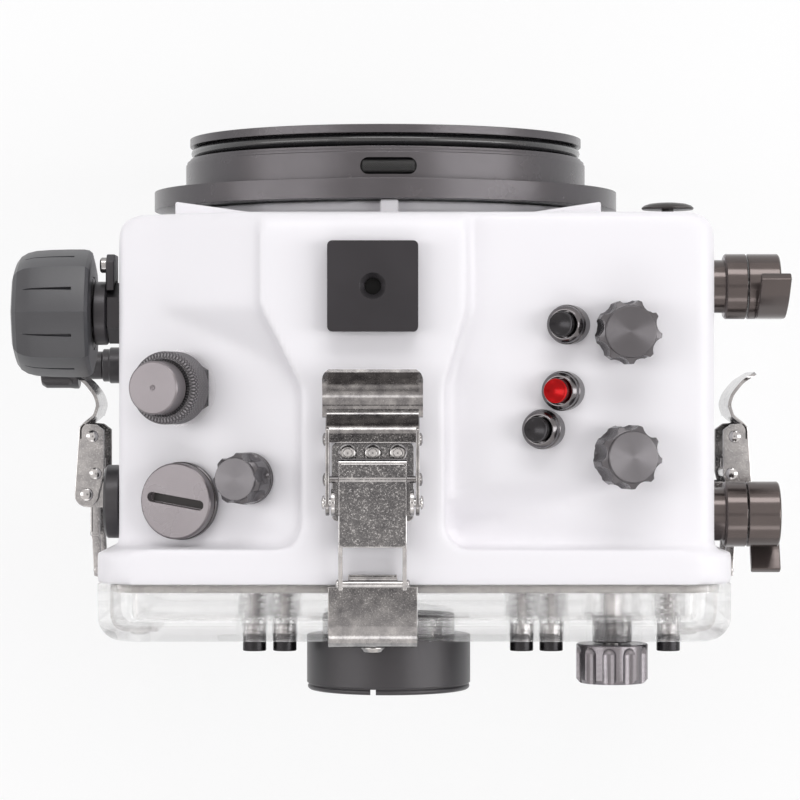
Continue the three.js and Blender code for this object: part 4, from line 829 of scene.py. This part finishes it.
for side, seat, foot in LATCHES:
    steel = polished_steel(f"{side} latch steel", seat)
    finishes = {}
    # The top latch's lever and keeper take darker copies of the same steel: painted shade for the
    # dark reflection of the camera overhead.
    if side == "top":
        finishes["lever"] = polished_steel("top lever steel painted shade", seat, 0.2)
        finishes["keeper"] = polished_steel("top keeper steel painted shade", seat, 0.1)
    for kind, body, made in (
        ("bracket", "root", latch_bracket(foot)),
        ("lever", f"{side}_lever", latch_lever()),
        ("link", f"{side}_link", latch_link()),
        ("keeper", "back", latch_keeper()),
    ):
        made.name = f"{side}_draw_{kind}"
        seated(made, seat)
        made_of(made, finishes.get(kind, steel), "polished_steel", body, f"{side}_latch_{kind}")

# Top knobs: three fluted knobs machined from anodised bar, two on the right deck over the camera's
# dials and a smaller one in the left pocket, each pinned to a shaft that runs through the shell.
KNOB_GREY = (0.085, 0.08, 0.085, 1)
SHAFT_RADIUS = 3
SHAFT_NECK = 2.58


def around(piece, count, first):
    """Repeats a tool about its seat's Z axis and joins the copies."""
    copies = []
    for i in range(count):
        copy = bpy.data.objects.new("copy", piece.data.copy())
        scene.collection.objects.link(copy)
        copy.data.transform(Matrix.Rotation(math.radians(first + 360 * i / count), 4, "Z"))
        copies.append(copy)
    bpy.data.objects.remove(piece)
    return fused("ring of tools", *copies)


def ball_mill(radius, foot, top, distance):
    """The path of a ball-nosed cutter that stands upright at a distance from the axis."""
    nose = arc(0, foot + radius, radius, -90, 0, 6)
    return seated(turned("mill", [*nose, (radius, top), (0, top)], 24, 0), station(distance, 0, 0))


def shaft(seat, body, low, high):
    """A ground stainless shaft with a clip groove near its inner end."""
    profile = [
        (0, low), (SHAFT_RADIUS - 0.3, low), (SHAFT_RADIUS, low + 0.3), (SHAFT_RADIUS, low + 1.6),
        (SHAFT_NECK, low + 1.6), (SHAFT_NECK, low + 2.2), (SHAFT_RADIUS, low + 2.2),
        (SHAFT_RADIUS, high), (0, high),
    ]
    lathed(f"{body}_shaft", profile, 32, 0, seat, shaft_steel, "polished_steel", body)


def fluted_knob(name, knob, mill, flutes, first, edge, seat, finish, slot, ends):
    """Mills flutes round a turned knob, breaks their edges and pins it to its shaft."""
    cut(knob, around(mill, flutes, first))
    smooth(soften(knob, edge, 2, 40))
    made_of(seated(knob, seat), finish, slot, name, name)
    shaft(seat, name, *ends)


shaft_steel = polished_steel("ground shaft steel", None, 0.08)
DECK_KNOBS = (
    ("front_deck_knob", station(77.4, 21.7, 182.7, 0, 4.5), 12.5),
    ("rear_deck_knob", station(75.9, -18.1, 184.2, 0, 14), 13),
)
for name, seat, first in DECK_KNOBS:
    knob = turned(
        name,
        [
            (0, 0.8), (9.2, 0.8), (9.4, 1), (9.4, 1.6), (8.9, 1.65), (8.9, 2), (9.4, 2.05),
            (9.4, 2.5), (10.3, 2.9), (10.3, 10.9), (10.1, 11.4), (8.5, 12.1), (8.35, 12.2),
            (8.2, 12.95), (8, 13.15), (0, 13.2),
        ],
        144, 0.08,
    )
    fluted_knob(
        name, knob, ball_mill(3.8, 1.1, 16, 12.35), 9, first, 0.16, seat,
        anodised(f"{name} anodising", seat, KNOB_GREY, 0.2, 0.35, 0.02, 0.55),
        "grey_aluminium", (-31, 0.8),
    )

seat = station(-43.3, -25.3, 175.567, 0, -20)
knob = turned(
    "small_knob",
    [
        (0, 0.8), (8.3, 0.8), (8.4, 0.9), (8.4, 1.4), (8.0, 1.45), (8.0, 1.8), (8.4, 1.85),
        (8.4, 2.6), (7.9, 3.0), (7.9, 3.3), (8.4, 3.5), (8.4, 10.8), (8.1, 11.5), (7.1, 12.1),
        (7, 12.2), (6.9, 13), (6.7, 13.2), (0, 13.2),
    ],
    112, 0.08,
)
fluted_knob(
    "small_knob", knob, ball_mill(3.6, 3.6, 18, 10.4), 7, 8, 0.16, seat,
    anodised("small knob anodising", seat, KNOB_GREY, 0.18, 0.35, 0.012, 0.55),
    "grey_aluminium", (-24.5, 0.8),
)

# Deck buttons: three tilted push buttons. Each has a turned black gland set flush with the sloping
# deck and a dished cap, red on the middle one, on a long stem that reaches down to the camera.
DECK_BUTTONS = (("a", 59.4, 24.2), ("b", 57.7, 2.9), ("c", 51.4, -9.4))
DECK_Z = 182


def glazed(name, colour, roughness, metallic):
    """Polished and dyed aluminium or hard lacquer."""
    finish = Finish(name)
    spot = finish.place()
    haze = finish.noise(spot, 500, 3)
    return finish.surface(
        Base_Color=finish.mix(haze, colour, shade(colour, 1.25)),
        Metallic=metallic,
        Roughness=roughness + 0.08 * haze,
        Coat_Weight=0.15,
        Coat_Roughness=0.12,
        Normal=finish.bump(haze, 0.004 * MM, 0.4),
    )


def dished(name, radius, low, high, dish, steps=64):
    """A round cap with a hollow ground into its top."""
    side = [(0, low), (radius, low), (radius, high - 0.25), (radius * 0.96, high)]
    top = [(radius * 0.92 * i / 8, high - dish * (1 - (i / 8) ** 2)) for i in range(8, -1, -1)]
    return turned(name, side + top, steps, 0)


gland_finish = glazed("gland lacquer", (0.11, 0.104, 0.108, 1), 0.13, 1.0)
cap_black = glazed("black cap", (0.02, 0.019, 0.021, 1), 0.24, 0.9)
cap_red = glazed("red cap", (0.23, 0.0, 0.001, 1), 0.26, 0.95)
for letter, x, y in DECK_BUTTONS:
    seat = station(x, y, DECK_Z, 0, -20)
    gland = turned(
        f"deck_button_{letter}_gland",
        [
            (1.9, -3), (6.4, -3), (6.4, 2.6), (6.1, 2.8), (6.0, 4.6), (5.8, 5.1), (5.2, 5.7),
            (4.9, 6), (4.4, 6), (4.4, 2), (1.9, 2),
        ],
        72, 0.12,
    )
    seated(gland, seat)
    cut(gland, block((x - 12, y - 12, DECK_Z - 20), (x + 12, y + 12, DECK_Z + 0.05)))
    smooth(gland)
    made_of(gland, gland_finish, "black_aluminium", "root", f"deck_button_{letter}_gland")
    cap = dished(f"deck_button_{letter}", 4, 4.6, 9.2, 0.9)
    stem = turned("stem", [(0, -33), (1.3, -33), (1.5, -32.7), (1.5, 4.6), (0, 4.6)], 24, 0)
    seated(fused(f"deck_button_{letter}", cap, stem), seat)
    red = letter == "b"
    lacquer, slot = (cap_red, "red_aluminium") if red else (cap_black, "black_aluminium")
    made_of(cap, lacquer, slot, f"button_{letter}", f"deck_button_{letter}")

# Left pocket: a capped accessory connector with a hexagon body and a knurled retaining collar, set
# on a clear washer, and a vent plug with a coin slot. Both are clamped through the tilted floor.
CONNECTOR_SEAT = station(-66.4, 3.9, 167.16, 0, -20)
PLUG_SEAT = station(-65.5, -32.8, 167.487, 0, -20)
PLUG_GREY = (0.155, 0.14, 0.147, 1)
COLLAR_GREY = (0.1, 0.095, 0.1, 1)
SLOT_ANGLE = -9
NUT_CHAMFER = 0.6


def hexagon(flats, low, high):
    """A hexagon nut with its corners turned off."""
    cylinder_add = bpy.ops.mesh.primitive_cylinder_add
    corner, depth = flats / math.sqrt(3), high - low
    nut = added(cylinder_add, "nut", vertices=6, radius=corner * MM, depth=depth * MM)
    seated(nut, station(0, 0, (high + low) / 2))
    reach = flats / 2
    clear = corner + 1
    skim = [(reach, high + 0.01), (clear, high - NUT_CHAMFER), (clear, high + 2), (reach, high + 2)]
    cut(nut, turned("skim", skim, 64, 0))
    return smooth(nut)


body = fused(
    "connector_body",
    hexagon(20, 0.3, 3.3),
    turned("barrel", [(0, -15.8), (6.9, -15.8), (7.4, -15.3), (7.4, 14.6), (0, 14.6)], 64, 0),
)
seated(body, CONNECTOR_SEAT)
nut_finish = anodised("connector nut anodising", CONNECTOR_SEAT, CONTROL_BLACK, 0.24)
made_of(body, nut_finish, "black_aluminium", "root", "connector_body")
lathed(
    "connector_collar",
    [
        (7.8, 3.6), (11.2, 3.6), (11.8, 4.2), (11.8, 12.6), (11.6, 12.7), (11.5, 13.2),
        (11.2, 13.6), (10.4, 13.9), (9.4, 14.2), (8.8, 13.2), (7.8, 13),
    ],
    120, 0.1, CONNECTOR_SEAT,
    knurled("collar knurl", CONNECTOR_SEAT, COLLAR_GREY, 11.8, 1.25, 0.45),
    "grey_aluminium", "collar", "connector_collar",
)
lathed(
    "connector_cap",
    [
        (0, 14.9), (8.1, 14.9), (8.6, 15.2), (8.6, 21.5), (8.1, 22), (0.9, 22), (0.6, 21.8),
        (0.25, 21.6), (0, 21.6),
    ],
    120, 0.1, CONNECTOR_SEAT,
    anodised("connector cap anodising", CONNECTOR_SEAT, PLUG_GREY, 0.3, 0.5, 0.008),
    "grey_aluminium", "root", "connector_cap",
)
lathed(
    "connector_washer",
    [(7.8, 0.02), (12.5, 0.02), (12.5, 0.3), (7.8, 0.3)],
    96, 0, CONNECTOR_SEAT, polished_clear("clear washer", (0.97, 0.97, 0.98, 1), 0.3, 0.05),
    "clear_cover", "root",
)

lathed(
    "vent_plug_seat",
    [(6.4, 0.3), (12.4, 0.3), (12.7, 0.6), (12.7, 2.2), (12.4, 2.4), (6.4, 2.4)],
    96, 0.1, PLUG_SEAT, gland_finish, "black_aluminium", "root", "vent_plug_seat",
)
plug = turned(
    "vent_plug",
    [
        (0, -6), (5.7, -6), (6, -5.7), (6, 2.7), (12.1, 2.7), (12.4, 3), (12.4, 6), (11.9, 6.5),
        (0, 6.5),
    ],
    120, 0.1,
)
coin_slot = slab((-10, -1.55, 3.2), (10, 1.55, 9), 1.5, 6, 2)
slot_turn = Matrix.Rotation(math.radians(SLOT_ANGLE), 4, "Z")
seated(coin_slot, slot_turn)
cut(plug, coin_slot)
smooth(soften(plug, 0.14, 2, 50))
seated(plug, PLUG_SEAT)
# A near-black sheet at the bottom of the coin slot: painted shade in the slot.
slot_shade = block((-9, -1.3, 3), (9, 1.3, 3.35), "vent_plug_slot_shade")
seated(slot_shade, PLUG_SEAT @ slot_turn)
slot_shade_finish = blasted("slot painted shade", (0.02, 0.018, 0.018, 1), 0.5)
made_of(slot_shade, slot_shade_finish, "black_aluminium", "plug")
plug_finish = anodised("vent plug anodising", PLUG_SEAT, PLUG_GREY, 0.28, 0.5, 0.008)
made_of(plug, plug_finish, "grey_aluminium", "plug", "vent_plug")

# Left wall: the zoom knob with its moulded rubber grip on an aluminium hub, its hexagon gland and
# collar, a lower knob on a long gland, and a blanking boss over an unused control position.
ZOOM_SEAT = station(-87.5, 29, 140, 0, -90)
LOWER_SEAT = station(-87.5, 12.5, 60, 0, -90)
BOSS_SEAT = station(-87.5, -33.8, 144, 0, -90)
GRIP_SIDES = 8
GRIP_CREASE = 0.72
GRIP_CORE = 12.6


def faceted(piece, sides, share, beyond):
    """Draws a turned piece's outside in between its corners, so that it has soft facets."""
    sector = 2 * math.pi / sides
    for vertex in piece.data.vertices:
        radius = math.hypot(vertex.co.x, vertex.co.y)
        if radius > beyond * MM:
            offset = math.atan2(vertex.co.y, vertex.co.x) % sector - sector / 2
            flat = math.cos(sector / 2) / math.cos(offset)
            drawn = 1 - share * (1 - flat)
            vertex.co.x *= drawn
            vertex.co.y *= drawn
    return piece


def moulded_rubber(name, colour, roughness):
    """Moulded elastomer with a faint spark-eroded grain."""
    finish = Finish(name)
    spot = finish.place()
    grain = finish.noise(spot, 1800, 2)
    dust = finish.noise(spot, 70, 4)
    return finish.surface(
        Base_Color=finish.mix(dust, colour, shade(colour, 1.45)),
        Roughness=roughness + 0.12 * dust,
        Normal=finish.bump(grain, 0.05 * MM, 0.5),
    )


grip_outline = [
    (12.3, 9.8), (18.6, 9.8), (20.2, 10.2), (21.1, 11.3), (21.4, 13), (21.4, 18), (21.25, 24),
    (20.9, 29), (20.2, 31.8), (18.9, 34.0), (17.0, 35.4), (14.6, 36.0), (8, 36.3), (0, 36.4),
    (0, 32.8), (12.3, 32.8),
]
grip = turned("zoom_knob_grip", grip_outline, TURNING_STEPS, 0)
faceted(grip, GRIP_SIDES, GRIP_CREASE, GRIP_CORE)
slit = block((18.9, -0.55, 15.6), (24, 0.55, 34.6))
for vertex in slit.data.vertices:
    if vertex.co.z > 30 * MM:
        vertex.co.y *= 0.15
cut(grip, around(slit, GRIP_SIDES, 22.5))
smooth(soften(grip, 0.3, 3, 40), 20)
seated(grip, ZOOM_SEAT)
grip_rubber = moulded_rubber("zoom grip rubber", (0.04, 0.04, 0.044, 1), 0.3)
made_of(grip, grip_rubber, "soft_rubber", "zoom_knob", "zoom_knob_grip")
lathed(
    "zoom_knob_hub",
    [(0, -13), (3.7, -13), (4, -12.7), (4, 9.8), (11.7, 9.8), (12, 10.1), (12, 32.5), (0, 32.5)],
    96, 0.1, ZOOM_SEAT, anodised("zoom hub anodising", ZOOM_SEAT, CONTROL_BLACK, 0.4),
    "black_aluminium", "zoom_knob", "zoom_knob_hub",
)
zoom_nut = cut(hexagon(17.6, 0.3, 4.9), rod(4.4, -2, 8))
zoom_collar = turned(
    "collar",
    [(4.4, 4.7), (9.6, 4.7), (10.3, 5.1), (10.6, 5.5), (10.6, 9.0), (10.2, 9.4), (4.4, 9.4)],
    96, 0.1,
)
zoom_gland = seated(fused("zoom_knob_gland", zoom_nut, zoom_collar), ZOOM_SEAT)
zoom_gland_finish = blasted("zoom gland anodising", CONTROL_BLACK, 0.34)
made_of(zoom_gland, zoom_gland_finish, "black_aluminium", "root", "zoom_knob_gland")

lathed(
    "lower_knob_gland",
    [
        (3.4, 0.3), (6.2, 0.3), (6.5, 0.6), (6.5, 11.6), (5.9, 12), (5.9, 14), (5.6, 14.3),
        (3.4, 14.3),
    ],
    64, 0.1, LOWER_SEAT, anodised("lower gland anodising", LOWER_SEAT, CONTROL_BLACK, 0.3),
    "black_aluminium", "root", "lower_knob_gland",
)
lower_knob = turned(
    "lower_knob",
    [
        (0, 14.4), (4.8, 14.4), (5, 14.6), (5, 22.8), (8.1, 22.8), (8.4, 23.1), (8.4, 34.4),
        (7.3, 36), (7, 36.2), (0, 36.2),
    ],
    96, 0.1,
)
fluted_knob(
    "lower_knob", lower_knob, ball_mill(2.3, 24.3, 39, 9.4), 8, 0, 0.14, LOWER_SEAT,
    anodised("lower knob anodising", LOWER_SEAT, CONTROL_BLACK, 0.34),
    "black_aluminium", (-13, 14.4),
)

lathed(
    "blanking_boss",
    [(0, -7), (3, -7), (3, 0.3), (11.9, 0.3), (12.2, 0.6), (12.2, 4.6), (11.4, 5.4), (0, 5.4)],
    96, 0.12, BOSS_SEAT, anodised("boss anodising", BOSS_SEAT, CONTROL_BLACK, 0.3),
    "black_aluminium", "root", "blanking_boss",
)

# Right wall: the shutter lever and the lens lock lever. Each has a turned gland and collar, and a
# cranked paddle that is bent round and welded to its hub.
SHUTTER_SEAT = station(107, 37.6, 150, 0, 90)
LOCK_SEAT = station(107, -37.8, 150, 0, 90)
LEVER_BROWN = (0.085, 0.071, 0.068, 1)
STRIP_THICKNESS = 3
FORWARD_UP_TO_XY = Matrix(((0, 1, 0, 0), (0, 0, 1, 0), (1, 0, 0, 0), (0, 0, 0, 1)))


def lever_finish(name, seat):
    return anodised(f"{name} anodising", seat, LEVER_BROWN, 0.16, 0.3, 0.006, 0.7)


def side_gland(name, seat):
    """A turned gland with its wider collar, on a lever's axis."""
    profile = [
        (3.4, 0.3), (8.6, 0.3), (8.8, 0.5), (8.8, 5.2), (10.2, 5.2), (10.8, 5.8), (10.8, 12.2),
        (10.6, 12.4), (3.4, 12.4),
    ]
    finish = lever_finish(name, seat)
    lathed(name, profile, 96, 0.12, seat, finish, "black_aluminium", "root", name)


def paddle_lever(name, seat, body, reach, turn):
    """A hub with a cranked paddle, that turns on the seat's axis."""
    profile = [(0, 12.8), (10.5, 12.8), (10.8, 13.1), (10.8, 22.9), (10.3, 23.4), (0, 23.4)]
    hub = turned("hub", profile, 96, 0.12)
    line = [(1, -9.3), (-reach / 3, -9.3), (-0.7 * reach, -4.65), (-reach, 2.6)]
    strip = sheet_metal("strip", bent(line, STRIP_THICKNESS, 8), 15.2, 25, 0.5)
    seated(strip, FORWARD_UP_TO_XY)
    lever = fused(name, hub, strip)
    seated(lever, Matrix.Rotation(math.radians(turn), 4, "Z"))
    smooth(lever, 40)
    seated(lever, seat)
    made_of(lever, lever_finish(name, seat), "black_aluminium", body, name)
    shaft(seat, body, -13, 12.8)


side_gland("shutter_gland", SHUTTER_SEAT)
side_gland("lock_lever_gland", LOCK_SEAT)
paddle_lever("shutter_lever", SHUTTER_SEAT, "shutter", 24, 0)
paddle_lever("lock_lever", LOCK_SEAT, "lock", 20, 115)

# Rear controls: a fluted dial knob and five push buttons in the clear back. Each button is a piston
# with a stem, a clip at its inner end and a coiled return spring inside its clear cage.
REAR_KNOB_GREY = (0.16, 0.15, 0.16, 1)
SPRING_RADIUS = 3
SPRING_WIRE = 0.45
SPRING_CURLS = 5
CURL_STEPS = 24
rear_knob = turned(
    "rear_knob",
    [(0, 2.6), (11.5, 2.6), (11.9, 3), (11.9, 14.2), (11, 15.3), (10.6, 15.6), (0, 15.6)],
    120, 0.12,
)
fluted_knob(
    "rear_knob", rear_knob, ball_mill(2.7, 3.2, 18, 13.1), 11, 0, 0.14, REAR_KNOB_SEAT,
    anodised("rear knob anodising", REAR_KNOB_SEAT, REAR_KNOB_GREY, 0.2, 0.3, 0.01, 0.75),
    "black_aluminium", (-18.5, 2.6),
)

spring_wire = polished_steel("spring wire", None, 0.05)


def coil(name, low, high):
    """A helix of round wire about Z, swept along a curve and turned into a mesh."""
    line = bpy.data.curves.new(name, "CURVE")
    line.dimensions = "3D"
    line.bevel_depth = SPRING_WIRE * MM
    line.bevel_resolution = 4
    line.use_fill_caps = True
    path = line.splines.new("POLY")
    steps = SPRING_CURLS * CURL_STEPS
    path.points.add(steps)
    for i, point in enumerate(path.points):
        turn = 2 * math.pi * i / CURL_STEPS
        rise = low + (high - low) * i / steps
        x, y = SPRING_RADIUS * math.cos(turn), SPRING_RADIUS * math.sin(turn)
        point.co = (x * MM, y * MM, rise * MM, 1)
    piece = bpy.data.objects.new(name, line)
    scene.collection.objects.link(piece)
    alone(piece)
    bpy.ops.object.convert(target="MESH")
    return smooth(bpy.context.object, 60)


plunger = [(0, -21.6), (1.4, -21.6), (1.6, -21.4), (1.6, -4), (3.7, -3.9), (3.7, -0.8), (0, -0.8)]
circlip = [(1.6, -19.5), (2.7, -19.5), (2.9, -19.3), (2.9, -18.7), (2.7, -18.5), (1.6, -18.5)]
for number, (x, seat) in enumerate(zip(BUTTON_XS, BUTTON_SEATS), 1):
    name = f"rear_button_{number}"
    piston = dished(name, 3.9, -0.8, 5, 0.5, 48)
    stem = turned("stem", plunger, 32, 0)
    clip = turned("clip", circlip, 32, 0)
    made_of(seated(piston, seat), cap_black, "black_aluminium", name, name)
    stem = seated(fused(f"{name}_stem", stem, clip), seat)
    made_of(stem, shaft_steel, "polished_steel", name)
    spring = seated(coil(f"{name}_spring", -15.85, -4.85), seat)
    made_of(spring, spring_wire, "spring_steel", "back", f"{name}_spring")
    x * MM
    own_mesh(spring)

# Lens release, tray and tray screw: a domed button on the front face, and inside a flat aluminium
# tray on four feet that carries the camera on a quarter-inch screw.
RELEASE_SEAT = station(93.8, 60.8, 150, -90)
RELEASE_BLACK = (0.03, 0.026, 0.026, 1)
SCREW_SEAT = station(6, 2, 0)
lathed(
    "lens_release_button",
    [
        (0, -14), (1.8, -14), (2, -13.8), (2, 2.2), (8.3, 2.2), (8.6, 2.5), (8.6, 2.9),
        (7.8, 3.6), (6, 4.2), (3.4, 4.5), (0, 4.6),
    ],
    64, 0, RELEASE_SEAT, anodised("lens release anodising", RELEASE_SEAT, RELEASE_BLACK, 0.3),
    "black_aluminium", "release", "lens_release_button",
)

tray = slab((-60, -40, 19), (60, 44, 23), 6, 8, 2, "camera_tray")
cut(tray, seated(rod(3.4, 10, 30), SCREW_SEAT))
smooth(soften(tray, 0.4))
foot_profile = [(0, 13.3), (4.6, 13.3), (5, 13.7), (5, 19), (0, 19)]
feet = [
    seated(turned("foot", foot_profile, 40, 0.1), station(x, y, 0))
    for x in (-51, 51)
    for y in (-31, 35)
]
tray = fused("camera_tray", tray, *feet)
tray_finish = blasted("tray anodising", (0.04, 0.04, 0.042, 1))
made_of(tray, tray_finish, "black_aluminium", "root", "camera_tray")
lathed(
    "tray_screw",
    [
        (0, 14.7), (7.7, 14.7), (8, 15), (8, 18.4), (7.7, 18.7), (3, 18.7), (3, 27.6),
        (2.6, 28), (0, 28),
    ],
    64, 0.1, SCREW_SEAT, polished_steel("tray screw steel", None, 0.05),
    "polished_steel", "root", "tray_screw",
)

# Small fixed hardware on the shell: the post and two wedges that key the port ring's flange, and
# the clamp plate behind the zoom knob with its steel screw.
post = block((-1.4, 60.4, 154), (4.6, 65.8, 163), "neck_post")
soften(post, 0.8, 4)
wedges = []
for outer, inner in ((-69, -41), (71.4, 45.7)):
    wedge = block((min(outer, inner), 60, 142), (max(outer, inner), 65.4, 156), "neck_wedge")
    for vertex in wedge.data.vertices:
        if abs(vertex.co.x / MM - inner) < 1:
            vertex.co.y = min(vertex.co.y, 61.6 * MM)
    wedges.append(soften(wedge, 0.8, 3))
for piece in (post, *wedges):
    smooth(piece)
    gloss.wear(piece)
    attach(piece, "root")
clamp_outline = [(34, -8), (48.6, -8), (48.6, 4), (46, 8), (34, 8)][::-1]
clamp = sheet_metal("zoom_clamp_plate", clamp_outline, -5.2, -2.4, 0.4)
seated(clamp, station(-87.5, 0, 140))
cut(clamp, seated(rod(11, 0, 10, 64), ZOOM_SEAT))
made_of(clamp, blasted("clamp anodising", CONTROL_BLACK, 0.4), "black_aluminium", "root")
lathed(
    "clamp_screw",
    [(0, 5.2), (2.6, 5.2), (2.6, 7), (2.1, 7.5), (1.2, 7.6), (1.2, 6.4), (0, 6.4)],
    32, 0.1, station(-87.5, 45, 142, 0, -90), polished_steel("clamp screw steel", None, 0.1),
    "polished_steel", "root",
)
